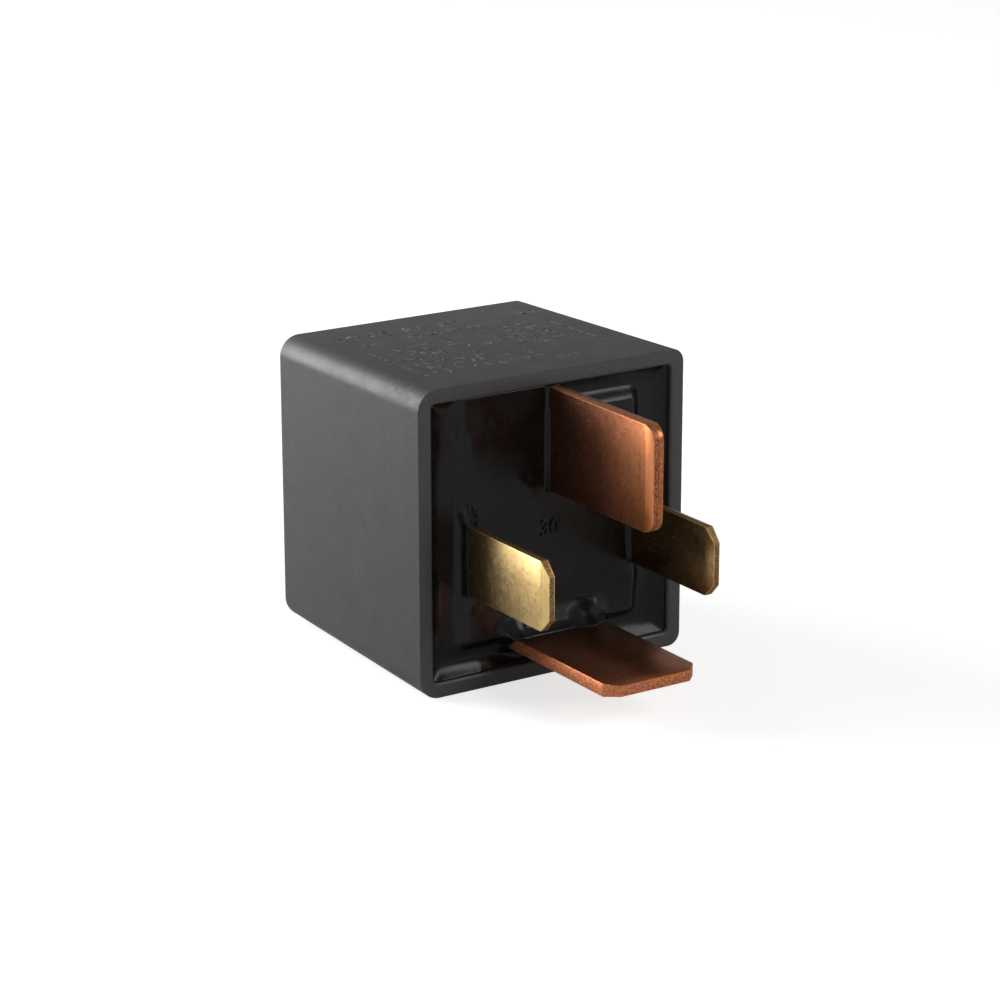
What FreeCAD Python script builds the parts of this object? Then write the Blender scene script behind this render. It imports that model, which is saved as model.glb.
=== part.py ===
import FreeCAD, Part
import math
import os
import re
import Sketcher

# Four-terminal automotive relay, 28 mm square, lying on a side of its cover.
# Local frame of every sub-part: origin in the middle of the cover's rim, +Y into the cover towards its
# closed end, +Z towards the upper side, +X to the right. Each sub-part's Placement then carries it to the
# relay's own frame: origin under the middle of the whole part, on the surface that it rests on.

DRIVING_SIZES = {
    # cover
    "case_width": 28.0,
    "case_height": 28.2,
    "case_depth": 25.5,
    "left_corner": 2.0,
    "right_corner": 1.25,
    "cavity_corner": 0.45,
    "draft_angle": 1.12,
    "side_wall": 1.4,
    "end_wall": 1.5,
    "rim_chamfer": 0.15,
    "end_round": 0.6,
    # base and potting
    "base_floor": 4.0,
    "base_plate": 2.0,
    "base_gap": 0.08,
    "seat_rise": 0.3,
    "seat_size": 1.6,
    "plateau_sink": 0.25,
    "plateau_past": 0.21,
    "plateau_room": 2.5,
    "plateau_corner": 1.0,
    "potting_sink": 1.1,
    "potting_edge": 0.4,
    "potting_lip": 0.12,
    "basin_corner": 0.95,
    "meniscus": 0.62,
    # load terminals
    "load_width": 9.5,
    "load_thick": 1.2,
    "load_reach": 15.8,
    "upper_round": 1.4,
    "lower_corner": 1.15,
    "upper_room": 0.1,
    "lower_drop": 10.27,
    "upper_neck": 5.5,
    "upper_neck_drop": 0.1,
    "tenon_width": 2.8,
    "tenon_gap": 1.0,
    "riser_width": 6.4,
    "riser_bend": 0.4,
    "foot_length": 5.0,
    # coil terminals
    "coil_width": 6.3,
    "coil_thick": 0.8,
    "coil_reach": 12.65,
    "coil_corner": 1.2,
    "coil_pitch": 17.28,
    "coil_drop": 1.94,
    "coil_neck": 4.5,
    "neck_rise": 3.4,
    "tag_width": 1.8,
    "tag_length": 1.8,
    # all terminals
    "bevel_long": 1.15,
    "bevel_deep": 0.1,
    "shoulder": 1.6,
    "slot_gap": 0.05,
    # electromagnet
    "end_room": 0.335,
    "back_room": 1.4,
    "yoke_thick": 1.8,
    "yoke_past": 0.2,
    "yoke_bend": 0.5,
    "yoke_foot_end": 1.6,
    "spool_room": 0.4,
    "core_diameter": 6.0,
    "stake_diameter": 5.0,
    "pole_diameter": 9.0,
    "pole_thick": 1.2,
    "flange_size": 13.6,
    "flange_thick": 1.0,
    "flange_corner": 1.2,
    "tube_wall": 0.75,
    "core_gap": 0.05,
    "winding_inset": 0.4,
    "wire_diameter": 0.3,
    # armature and spring
    "armature_thick": 1.6,
    "armature_inset": 0.3,
    "armature_nose": 9.0,
    "armature_past": 1.4,
    "armature_round": 0.45,
    "open_angle": 2.8,
    "hinge_gap": 0.04,
    "hinge_set": 0.15,
    "spring_thick": 0.3,
    "spring_width": 8.0,
    "spring_nose": 5.6,
    "spring_bend": 0.3,
    "spring_leg": 8.2,
    "spring_past": 2.9,
    "back_gap": 0.02,
    # contacts, rivets and stop
    "contact_inset": 2.95,
    "contact_diameter": 4.0,
    "fixed_head": 1.2,
    "moving_head": 1.6,
    "contact_gap": 0.04,
    "shank_diameter": 2.0,
    "clinch_diameter": 2.6,
    "clinch_thick": 0.35,
    "rivet_diameter": 1.6,
    "rivet_pitch": 5.0,
    "rivet_drop": 5.3,
    "yoke_rivet_room": 5.3,
    "stop_thick": 0.8,
    "stop_width": 3.0,
    "stop_side": 4.2,
    "stop_over": 1.5,
    "stop_gap": 0.32,
    "stop_reach": 2.4,
    "stop_rest": 0.05,
    "stop_bend": 0.3,
    "stop_root": 1.2,
    # suppression resistor
    "resistor_diameter": 1.9,
    "resistor_length": 4.2,
    "resistor_gap": 0.1,
    "resistor_cap": 1.0,
    "resistor_waist": 0.15,
    "lead_diameter": 0.5,
    "lead_end": 1.2,
    "lead_rise": 0.4,
    "wire_touch": 0.02,
}

doc = FreeCAD.newDocument("relay")
size = doc.addObject("Spreadsheet::Sheet", "size")


def fill_sheet():
    for row, (name, number) in enumerate(DRIVING_SIZES.items(), start=1):
        size.set("A%d" % row, name)
        size.set("B%d" % row, str(number))
        size.setAlias("B%d" % row, name)
    doc.recompute()


fill_sheet()


def cells(text):
    """Expression with each driving size written as a cell of the sheet."""
    return re.sub("[a-z_]+", lambda word: "size." * (word.group() in DRIVING_SIZES) + word.group(), text)


def value(text):
    return float(size.evalExpression(cells(text)))


# Lengths along +Y from the rim, and heights from the middle of the rim, that several sub-parts share.
HALF_WIDTH = "(case_width / 2)"
HALF_HEIGHT = "(case_height / 2)"
THROUGH = "(case_width + case_height)"
BASE_TOP = "(base_floor - base_plate)"
FOOT_LOW = "(base_floor + seat_rise)"
FOOT_TOP = "(base_floor + seat_rise + yoke_thick)"
WIND_LOW = "(base_floor + seat_rise + yoke_thick + flange_thick)"
# terminals
UPPER_RISE = "(case_height / 2 - side_wall - upper_room - load_width / 2)"
COIL_FACE = "(coil_pitch / 2 - coil_thick / 2)"
NECK_END = "(base_floor + neck_rise)"
TAG_END = "(base_floor + neck_rise + tag_length)"
CONTACT_DROP = "(lower_drop + load_thick / 2 - contact_inset)"
PLATEAU_HALF = "(coil_pitch / 2 + plateau_past)"
PLATEAU_TOP = "(case_height / 2 - side_wall - plateau_room)"
PLATEAU_LOW = "(load_thick / 2 + slot_gap - lower_drop)"
# heights and widths of the electromagnet
FLANGE_HALF = "(flange_size / 2)"
YOKE_HALF = "(flange_size / 2 + yoke_past)"
WINDING_HALF = "(flange_size / 2 - winding_inset)"
ARMATURE_HALF = "(flange_size / 2 - armature_inset)"
YOKE_BACK = "(case_height / 2 - side_wall - back_room)"
YOKE_FACE = "(case_height / 2 - side_wall - back_room - yoke_thick)"
CORE_RISE = "(" + YOKE_FACE + " - spool_room - " + FLANGE_HALF + ")"
YOKE_FOOT = "(" + CORE_RISE + " - stake_diameter / 2 - yoke_foot_end)"
TENON_RISE = "(" + CORE_RISE + " + stake_diameter / 2 + tenon_gap + tenon_width / 2)"
HINGE_RISE = "(case_height / 2 - side_wall - back_room - hinge_set)"
ARMATURE_END = "(" + CORE_RISE + " - pole_diameter / 2 - armature_past)"
CONTACT_ARM = "(" + HINGE_RISE + " + " + CONTACT_DROP + ")"
SPRING_REACH = "(" + HINGE_RISE + " + " + CONTACT_DROP + " + spring_past)"
# depths of the electromagnet, counted from the closed end over the opened spring and its stop
SWING = "((armature_thick + spring_thick) * cos(open_angle) + " + SPRING_REACH + " * sin(open_angle))"
POLE_FACE = "(case_depth - end_wall - end_room - stop_thick - stop_rest - hinge_gap - " + SWING + ")"
SPOOL_TOP = "(" + POLE_FACE + " - pole_thick)"
WIND_TOP = "(" + POLE_FACE + " - pole_thick - flange_thick)"
HINGE_DEPTH = "(" + POLE_FACE + " + hinge_gap)"
PLATE_TOP = "(" + POLE_FACE + " + hinge_gap + armature_thick)"
YOKE_RIVETS = "(" + POLE_FACE + " - yoke_rivet_room)"
SPRING_LEG_END = "(" + POLE_FACE + " - spring_leg)"
FOOT_FACE = "(" + PLATE_TOP + " - moving_head - contact_gap - fixed_head)"
STOP_BACK = "(case_height / 2 - side_wall - stop_gap - (case_depth - end_wall) * tan(draft_angle))"
# the resistor lies between the end of the yoke's foot and the riser
RESISTOR_LEVEL = "((" + YOKE_FOOT + " - lower_drop + load_thick / 2) / 2)"
RESISTOR_DEPTH = "(base_floor + resistor_gap + resistor_diameter / 2)"
RIM_PLACE = "((load_reach - case_depth) / 2)"
SIDES = ("0 - ", "0 + ")

# Limits of the tests that pick edges, and the share of a wire's run that its bend takes.
STRAIGHT_SHARE = 0.9
SAME_PLACE = 0.01
BEND_SHARE = 0.45


def plane(body, role):
    for feature in body.Origin.OriginFeatures:
        if feature.Role == role:
            return feature
    raise ValueError(role)


def bind(item, path, text):
    item.setExpression(path, cells(text))


def new_body(name):
    """Sub-part whose frame is carried from the rim's middle to the relay's own frame."""
    body = doc.addObject("PartDesign::Body", name)
    body.Label = name
    bind(body, "Placement.Base.y", RIM_PLACE)
    bind(body, "Placement.Base.z", HALF_HEIGHT)
    return body


def new_sketch(body, role, name, offset="0", across="0", up="0"):
    """Sketch on one of the body's own origin planes, moved by sheet expressions.

    offset is counted along +X on the YZ plane, along +Y on the XZ plane and along +Z on the XY plane.
    """
    sketch = body.newObject("Sketcher::SketchObject", name)
    sketch.AttachmentSupport = (plane(body, role), [""])
    sketch.MapMode = "FlatFace"
    sign = "0 - " if role == "XZ_Plane" else "0 + "
    bind(sketch, "AttachmentOffset.Base.x", across)
    bind(sketch, "AttachmentOffset.Base.y", up)
    bind(sketch, "AttachmentOffset.Base.z", sign + "(" + offset + ")")
    return sketch


def fix_point(sketch, geometry, end, across, up):
    """Ties a sketch point to the sketch's origin by two sheet expressions."""
    for kind, text in (("DistanceX", across), ("DistanceY", up)):
        index = sketch.addConstraint(Sketcher.Constraint(kind, -1, 1, geometry, end, value(text)))
        bind(sketch, "Constraints[%d]" % index, text)


def add_outline(sketch, corners):
    """Closed polygon whose corners are pairs of sheet expressions."""
    first = sketch.GeometryCount
    points = [FreeCAD.Vector(value(across), value(up), 0) for across, up in corners]
    count = len(points)
    for index in range(count):
        sketch.addGeometry(Part.LineSegment(points[index], points[(index + 1) % count]), False)
    for index in range(count):
        following = first + (index + 1) % count
        sketch.addConstraint(Sketcher.Constraint("Coincident", first + index, 2, following, 1))
    for index, (across, up) in enumerate(corners):
        fix_point(sketch, first + index, 1, across, up)


def add_box(sketch, left, right, low, high):
    add_outline(sketch, [(left, low), (right, low), (right, high), (left, high)])


def add_rounded_box(sketch, half_wide, half_high, radius):
    """Rectangle about the sketch's origin with rounded corners."""
    wide, high, round_off = value(half_wide), value(half_high), value(radius)
    normal = FreeCAD.Vector(0, 0, 1)
    for quarter in range(4):
        along, side = (wide, high) if quarter % 2 == 0 else (high, wide)
        spin = FreeCAD.Rotation(normal, 90 * quarter)
        start = spin.multVec(FreeCAD.Vector(round_off - along, -side, 0))
        end = spin.multVec(FreeCAD.Vector(along - round_off, -side, 0))
        centre = spin.multVec(FreeCAD.Vector(along - round_off, round_off - side, 0))
        first = math.radians(90 * quarter - 90)
        sketch.addGeometry(Part.LineSegment(start, end), False)
        sketch.addGeometry(
            Part.ArcOfCircle(Part.Circle(centre, normal, round_off), first, first + math.pi / 2), False)
    for quarter in range(4):
        line = 2 * quarter
        sketch.addConstraint(Sketcher.Constraint("Tangent", line, 2, line + 1, 1))
        sketch.addConstraint(Sketcher.Constraint("Tangent", line + 1, 2, (line + 2) % 8, 1))
        sketch.addConstraint(Sketcher.Constraint("Horizontal" if quarter % 2 == 0 else "Vertical", line))
    for arc in (3, 5, 7):
        sketch.addConstraint(Sketcher.Constraint("Equal", 1, arc))
    limits = (("Radius", (1,), round_off, radius),
              ("DistanceY", (-1, 1, 0, 1), -high, "0 - (" + half_high + ")"),
              ("DistanceX", (-1, 1, 2, 1), wide, half_wide),
              ("DistanceY", (-1, 1, 4, 1), high, half_high),
              ("DistanceX", (-1, 1, 6, 1), -wide, "0 - (" + half_wide + ")"))
    for kind, places, start_value, text in limits:
        index = sketch.addConstraint(Sketcher.Constraint(kind, *places, start_value))
        bind(sketch, "Constraints[%d]" % index, text)


def add_circle(sketch, diameter, across="0", up="0"):
    centre = FreeCAD.Vector(value(across), value(up), 0)
    circle = Part.Circle(centre, FreeCAD.Vector(0, 0, 1), value(diameter) / 2)
    index = sketch.addGeometry(circle, False)
    fix_point(sketch, index, 3, across, up)
    size_index = sketch.addConstraint(Sketcher.Constraint("Diameter", index, value(diameter)))
    bind(sketch, "Constraints[%d]" % size_index, diameter)


def pad(body, sketch, name, length, both_ways=False, taper=None):
    """Pad along +X, +Y or +Z by a sheet expression, or half of it each way."""
    feature = body.newObject("PartDesign::Pad", name)
    feature.Profile = sketch
    bind(feature, "Length", length)
    if both_ways:
        feature.SideType = "Symmetric"
    else:
        feature.Reversed = sketch.AttachmentSupport[0][0].Role == "XZ_Plane"
    if taper:
        bind(feature, "TaperAngle", taper)
    doc.recompute()
    return feature


def pocket(body, sketch, name, length, both_ways=False, taper=None):
    """Pocket along +Y (or, both ways, along the sketch's normal) that must remove material."""
    before = body.Shape.Volume
    feature = body.newObject("PartDesign::Pocket", name)
    feature.Profile = sketch
    bind(feature, "Length", length)
    if both_ways:
        feature.SideType = "Symmetric"
    else:
        feature.Reversed = sketch.AttachmentSupport[0][0].Role != "XZ_Plane"
    if taper:
        bind(feature, "TaperAngle", taper)
    doc.recompute()
    if not body.Shape.Volume < before:
        raise RuntimeError(name + " removes nothing")
    return feature


def turn(body, sketch, name, axis="H_Axis"):
    """Solid of revolution about one of the sketch's axes."""
    feature = body.newObject("PartDesign::Revolution", name)
    feature.Profile = sketch
    feature.ReferenceAxis = (sketch, [axis])
    feature.Angle = 360
    doc.recompute()
    return feature


def mirror(body, original, name):
    """Second copy of a feature, across the relay's middle plane."""
    feature = body.newObject("PartDesign::Mirrored", name)
    feature.Originals = [original]
    feature.MirrorPlane = (plane(body, "YZ_Plane"), [""])
    body.Tip = feature
    doc.recompute()
    return feature


def matching_edges(feature, test):
    """Names of the feature's edges whose middle and direction pass the test."""
    names = []
    for index, edge in enumerate(feature.Shape.Edges, start=1):
        middle = edge.valueAt((edge.FirstParameter + edge.LastParameter) / 2)
        along = edge.tangentAt((edge.FirstParameter + edge.LastParameter) / 2)
        if test(middle, along):
            names.append("Edge%d" % index)
    if not names:
        raise RuntimeError("no edge matches on " + feature.Name)
    return names


def fillet(body, base, name, radius, test):
    feature = body.newObject("PartDesign::Fillet", name)
    feature.Base = (base, matching_edges(base, test))
    bind(feature, "Radius", radius)
    doc.recompute()
    return feature


def chamfer(body, base, name, cut, test):
    feature = body.newObject("PartDesign::Chamfer", name)
    feature.Base = (base, matching_edges(base, test))
    bind(feature, "Size", cut)
    doc.recompute()
    return feature


def near(one, other):
    return abs(one - other) < SAME_PLACE


def runs_deep(middle, along):
    return abs(along.y) > STRAIGHT_SHARE


def runs_across(along):
    return abs(along.x) > STRAIGHT_SHARE


def runs_up(along):
    return abs(along.z) > STRAIGHT_SHARE


def make_cover():
    """Drafted shell, open at the rim, with a chamfered mouth and a rounded closed end."""
    body = new_body("cover")
    narrowing = " - case_depth * tan(draft_angle))"
    high_end = "(" + HALF_HEIGHT + narrowing
    wide_end = "(" + HALF_WIDTH + narrowing
    profile = new_sketch(body, "YZ_Plane", "cover_profile")
    add_outline(profile, [("0", "0 - " + HALF_HEIGHT), ("case_depth", "0 - " + high_end),
                          ("case_depth", high_end), ("0", HALF_HEIGHT)])
    pad(body, profile, "cover_block", "case_width", both_ways=True)
    wedges = new_sketch(body, "XY_Plane", "cover_side_wedges")
    for side in SIDES:
        add_outline(wedges, [(side + HALF_WIDTH, "0"), (side + HALF_WIDTH + side[1:] + "side_wall", "0"),
                             (side + HALF_WIDTH + side[1:] + "side_wall", "case_depth"),
                             (side + wide_end, "case_depth")])
    block = pocket(body, wedges, "cover_side_cut", THROUGH, both_ways=True)
    left_round = fillet(body, block, "left_corners", "left_corner", lambda m, a: runs_deep(m, a) and m.x < 0)
    rounded = fillet(body, left_round, "right_corners", "right_corner",
                     lambda m, a: runs_deep(m, a) and m.x > 0)
    depth = value("case_depth")
    fillet(body, rounded, "cover_end_round", "end_round", lambda m, a: near(m.y, depth))
    half_in = "(case_width / 2 - side_wall)"
    high_in = "(case_height / 2 - side_wall)"
    mouth = new_sketch(body, "XZ_Plane", "cavity_outline")
    add_box(mouth, "0 - " + half_in, half_in, "0 - " + high_in, high_in)
    hollow = pocket(body, mouth, "cavity", "case_depth - end_wall", taper="0 - draft_angle")
    limit_x = value(half_in) + SAME_PLACE
    limit_z = value(high_in) + SAME_PLACE
    inner_corner = fillet(
        body, hollow, "cavity_corners", "cavity_corner",
        lambda m, a: runs_deep(m, a) and abs(m.x) < limit_x and abs(m.z) < limit_z)
    chamfer(
        body, inner_corner, "rim_lead_in", "rim_chamfer",
        lambda m, a: near(m.y, 0) and abs(m.x) < limit_x and abs(m.z) < limit_z)
    return body


def cavity_half(depth, span):
    """Half of the cavity's width or height at a depth below the rim."""
    return "(" + span + " / 2 - side_wall - (" + depth + ") * tan(draft_angle))"


def add_terminal_slots(sketch, gap, wide):
    """Sections of the four terminals, above their shoulders (wide) or below them."""
    load_half = "(load_width / 2 + " + gap + ")"
    thick_half = "(load_thick / 2 + " + gap + ")"
    neck_half = "(upper_neck / 2 + " + gap + ")"
    upper = UPPER_RISE if wide else UPPER_RISE + " - upper_neck_drop"
    upper_half = load_half if wide else neck_half
    add_box(sketch, "0 - " + thick_half, thick_half, upper + " - " + upper_half, upper + " + " + upper_half)
    riser_half = load_half if wide else "(riser_width / 2 + " + gap + ")"
    add_box(sketch, "0 - " + riser_half, riser_half,
            "0 - lower_drop - " + thick_half, "0 - lower_drop + " + thick_half)
    coil_half = "(coil_width / 2 + " + gap + ")" if wide else "(coil_neck / 2 + " + gap + ")"
    inner = "(" + COIL_FACE + " - " + gap + ")"
    outer = "(" + COIL_FACE + " + coil_thick + " + gap + ")"
    low = "0 - coil_drop - " + coil_half
    high = "0 - coil_drop + " + coil_half
    add_box(sketch, inner, outer, low, high)
    add_box(sketch, "0 - " + outer, "0 - " + inner, low, high)


def plateau_box(sketch):
    add_box(sketch, "0 - " + PLATEAU_HALF, PLATEAU_HALF, PLATEAU_LOW, PLATEAU_TOP)


def make_base():
    """Base plate with a raised plateau, slots for the terminals and seats for the yoke."""
    body = new_body("base")
    half_x = "(" + cavity_half("base_floor", "case_width") + " - base_gap)"
    half_z = "(" + cavity_half("base_floor", "case_height") + " - base_gap)"
    plate_outline = new_sketch(body, "XZ_Plane", "plate_outline", BASE_TOP)
    add_box(plate_outline, "0 - " + half_x, half_x, "0 - " + half_z, half_z)
    plate = pad(body, plate_outline, "plate", "base_plate")
    plate = fillet(body, plate, "plate_corners", "cavity_corner", runs_deep)
    plateau_outline = new_sketch(body, "XZ_Plane", "plateau_outline", "plateau_sink")
    plateau_box(plateau_outline)
    plateau = pad(body, plateau_outline, "plateau", BASE_TOP + " - plateau_sink")
    top = value(BASE_TOP)
    plateau = fillet(body, plateau, "plateau_corners", "plateau_corner",
                     lambda m, a: runs_deep(m, a) and m.y < top)
    wide_slots = new_sketch(body, "XZ_Plane", "wide_slots")
    add_terminal_slots(wide_slots, "slot_gap", True)
    pocket(body, wide_slots, "wide_slot_cut", "shoulder + slot_gap")
    neck_slots = new_sketch(body, "XZ_Plane", "neck_slots")
    add_terminal_slots(neck_slots, "slot_gap", False)
    pocket(body, neck_slots, "neck_slot_cut", "base_floor + seat_rise")
    seats = new_sketch(body, "XZ_Plane", "seat_outlines", "base_floor")
    for left, right in (("0 - " + YOKE_HALF, "seat_size - " + YOKE_HALF),
                        (YOKE_HALF + " - seat_size", YOKE_HALF)):
        add_box(seats, left, right, YOKE_FOOT, YOKE_FOOT + " + seat_size")
        add_box(seats, left, right, YOKE_FACE + " - seat_size", YOKE_FACE)
    pad(body, seats, "yoke_seats", "seat_rise")
    stop = new_sketch(body, "XZ_Plane", "stop_slot", "base_floor - stop_root")
    add_box(stop, "stop_side - slot_gap", "stop_side + stop_width + slot_gap",
            "0 - " + STOP_BACK + " - slot_gap", "0 - " + STOP_BACK + " + stop_thick + slot_gap")
    pocket(body, stop, "stop_slot_cut", "stop_root")
    return body


def make_potting():
    """Sealing ring whose concave top climbs the cover's wall, cut by the plateau and the terminals."""
    body = new_body("potting")
    half_in = "(case_width / 2 - side_wall)"
    high_in = "(case_height / 2 - side_wall)"
    outline = new_sketch(body, "XZ_Plane", "ring_outline")
    add_box(outline, "0 - " + half_in, half_in, "0 - " + high_in, high_in)
    ring = pad(body, outline, "ring", BASE_TOP, taper="0 - draft_angle")
    ring = fillet(body, ring, "ring_corners", "cavity_corner", runs_deep)
    lip = new_sketch(body, "XZ_Plane", "lip_level")
    add_box(lip, "0 - case_width", "case_width", "0 - case_height", "case_height")
    pocket(body, lip, "lip_cut", "potting_edge")
    basin = new_sketch(body, "XZ_Plane", "basin_outline")
    add_rounded_box(basin, half_in + " - potting_lip", high_in + " - potting_lip", "basin_corner")
    floor = pocket(body, basin, "basin", "potting_sink")
    sink = value("potting_sink")
    fillet(body, floor, "meniscus_round", "meniscus", lambda m, a: near(m.y, sink))
    hole = new_sketch(body, "XZ_Plane", "plateau_hole")
    plateau_box(hole)
    pocket(body, hole, "plateau_hole_cut", "base_floor")
    blades = new_sketch(body, "XZ_Plane", "blade_holes")
    add_terminal_slots(blades, "0", True)
    pocket(body, blades, "blade_hole_cut", "shoulder")
    necks = new_sketch(body, "XZ_Plane", "neck_holes")
    add_terminal_slots(necks, "0", False)
    pocket(body, necks, "neck_hole_cut", "base_floor")
    return body


def blade_outline(reach, half, middle, neck_half, neck_middle, neck_end, tip_half, tip_middle, end):
    """Outline of a blade terminal in the YZ plane: square tip, shoulders, neck and inner tongue."""
    return [
        ("0 - " + reach, middle + " - " + half),
        ("shoulder", middle + " - " + half),
        ("shoulder", neck_middle + " - " + neck_half),
        (neck_end, neck_middle + " - " + neck_half),
        (neck_end, tip_middle + " - " + tip_half),
        (end, tip_middle + " - " + tip_half),
        (end, tip_middle + " + " + tip_half),
        (neck_end, tip_middle + " + " + tip_half),
        (neck_end, neck_middle + " + " + neck_half),
        ("shoulder", neck_middle + " + " + neck_half),
        ("shoulder", middle + " + " + half),
        ("0 - " + reach, middle + " + " + half),
    ]


def tip_corners(reach, across):
    """Test for the two edges at a blade's tip that run through its thickness."""
    tip = 0 - value(reach)
    return lambda middle, along: near(middle.y, tip) and across(along)


def bevel_tip(body, role, name, reach, thick, centre):
    """Cuts the two long bevels that let a blade enter its socket."""
    sketch = new_sketch(body, role, name + "_bevels")
    tip = "0 - " + reach
    for side in SIDES:
        face = centre + " + (" + side + thick + " / 2)"
        inner = centre + " + (" + side + "(" + thick + " / 2 - bevel_deep))"
        clear = centre + " + (" + side + thick + ")"
        corners = [(tip + " - bevel_long", inner), (tip, inner),
                   (tip + " + bevel_long", face), (tip + " + bevel_long", clear),
                   (tip + " - bevel_long", clear)]
        if role == "XY_Plane":
            corners = [(up, along) for along, up in corners]
        add_outline(sketch, corners)
    pocket(body, sketch, name + "_bevel_cut", THROUGH, both_ways=True)


def make_terminal_30():
    """Upright copper blade whose tenon is staked into the foot of the yoke."""
    body = new_body("terminal_30")
    sketch = new_sketch(body, "YZ_Plane", "upper_blade")
    add_outline(sketch, blade_outline(
        "load_reach", "load_width / 2", UPPER_RISE,
        "upper_neck / 2", UPPER_RISE + " - upper_neck_drop", FOOT_LOW,
        "tenon_width / 2", TENON_RISE, FOOT_TOP))
    blade = pad(body, sketch, "upper_blade_pad", "load_thick", both_ways=True)
    fillet(body, blade, "upper_tip_corners", "upper_round", tip_corners("load_reach", runs_across))
    bevel_tip(body, "XY_Plane", "upper", "load_reach", "load_thick", "0")
    return body


def make_terminal_87():
    """Flat copper blade with a riser beside the coil and a foot for the fixed contact."""
    body = new_body("terminal_87")
    low = "(0 - lower_drop - load_thick / 2)"
    high = "(0 - lower_drop + load_thick / 2)"
    profile = new_sketch(body, "YZ_Plane", "riser_profile")
    add_outline(profile, [
        ("0", low), (FOOT_FACE, low), (FOOT_FACE, low + " + foot_length"),
        (FOOT_FACE + " - load_thick", low + " + foot_length"),
        (FOOT_FACE + " - load_thick", high), ("0", high)])
    riser = pad(body, profile, "riser", "riser_width", both_ways=True)
    face = value(FOOT_FACE)
    thick = value("load_thick")
    outer_z = value(low)
    inner_z = value(high)
    bent = fillet(body, riser, "riser_inner_bend", "riser_bend",
                  lambda m, a: runs_across(a) and near(m.y, face - thick) and near(m.z, inner_z))
    fillet(body, bent, "riser_outer_bend", "riser_bend + load_thick",
           lambda m, a: runs_across(a) and near(m.y, face) and near(m.z, outer_z))
    outline = new_sketch(body, "XY_Plane", "lower_blade", "0 - lower_drop")
    add_box(outline, "0 - load_width / 2", "load_width / 2", "0 - load_reach", "shoulder")
    blade = pad(body, outline, "lower_blade_pad", "load_thick", both_ways=True)
    chamfer(body, blade, "lower_tip_corners", "lower_corner", tip_corners("load_reach", runs_up))
    bevel_tip(body, "YZ_Plane", "lower", "load_reach", "load_thick", "(0 - lower_drop)")
    hole = new_sketch(body, "XZ_Plane", "fixed_contact_hole", FOOT_FACE + " - load_thick")
    add_circle(hole, "shank_diameter", "0", "0 - " + CONTACT_DROP)
    pocket(body, hole, "fixed_contact_hole_cut", "load_thick")
    return body


def make_coil_terminal(name, side):
    """Brass blade of the coil circuit, with a soldering tag inside."""
    body = new_body(name)
    centre = "(" + side + " * coil_pitch / 2)"
    sketch = new_sketch(body, "YZ_Plane", name + "_blade", centre)
    add_outline(sketch, blade_outline(
        "coil_reach", "coil_width / 2", "(0 - coil_drop)",
        "coil_neck / 2", "(0 - coil_drop)", NECK_END,
        "tag_width / 2", "(0 - coil_drop)", TAG_END))
    blade = pad(body, sketch, name + "_pad", "coil_thick", both_ways=True)
    chamfer(body, blade, name + "_tip_corners", "coil_corner", tip_corners("coil_reach", runs_across))
    bevel_tip(body, "XY_Plane", name, "coil_reach", "coil_thick", centre)
    return body


def make_yoke():
    """L-shaped steel frame: foot under the bobbin, long leg beside it, end edge as the hinge."""
    body = new_body("yoke")
    profile = new_sketch(body, "YZ_Plane", "yoke_profile")
    add_outline(profile, [
        (FOOT_LOW, YOKE_FOOT), (FOOT_TOP, YOKE_FOOT), (FOOT_TOP, YOKE_FACE), (POLE_FACE, YOKE_FACE),
        (POLE_FACE, YOKE_BACK), (FOOT_LOW, YOKE_BACK)])
    frame = pad(body, profile, "yoke_frame", YOKE_HALF + " * 2", both_ways=True)
    low = value(FOOT_LOW)
    top = value(FOOT_TOP)
    face = value(YOKE_FACE)
    back = value(YOKE_BACK)
    bent = fillet(body, frame, "yoke_inner_bend", "spool_room - core_gap",
                  lambda m, a: runs_across(a) and near(m.y, top) and near(m.z, face))
    fillet(body, bent, "yoke_outer_bend", "yoke_bend + yoke_thick",
           lambda m, a: runs_across(a) and near(m.y, low) and near(m.z, back))
    holes = new_sketch(body, "XZ_Plane", "foot_holes", FOOT_LOW)
    add_circle(holes, "stake_diameter", "0", CORE_RISE)
    half = "(load_thick / 2)"
    add_box(holes, "0 - " + half, half, TENON_RISE + " - tenon_width / 2", TENON_RISE + " + tenon_width / 2")
    pocket(body, holes, "foot_hole_cut", "yoke_thick")
    rivets = new_sketch(body, "XY_Plane", "leg_holes", YOKE_FACE)
    for side in SIDES:
        add_circle(rivets, "rivet_diameter", side + "rivet_pitch / 2", YOKE_RIVETS)
    pocket(body, rivets, "leg_hole_cut", "yoke_thick")
    return body


def make_core():
    """Soft-iron pin with a pole head, turned about the magnet's axis."""
    body = new_body("core")
    sketch = new_sketch(body, "YZ_Plane", "core_profile", up=CORE_RISE)
    add_outline(sketch, [
        (FOOT_LOW, "0"), (POLE_FACE, "0"), (POLE_FACE, "pole_diameter / 2"),
        (SPOOL_TOP, "pole_diameter / 2"), (SPOOL_TOP, "core_diameter / 2"),
        (FOOT_TOP, "core_diameter / 2"), (FOOT_TOP, "stake_diameter / 2"), (FOOT_LOW, "stake_diameter / 2")])
    turn(body, sketch, "core_turned")
    return body


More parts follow.
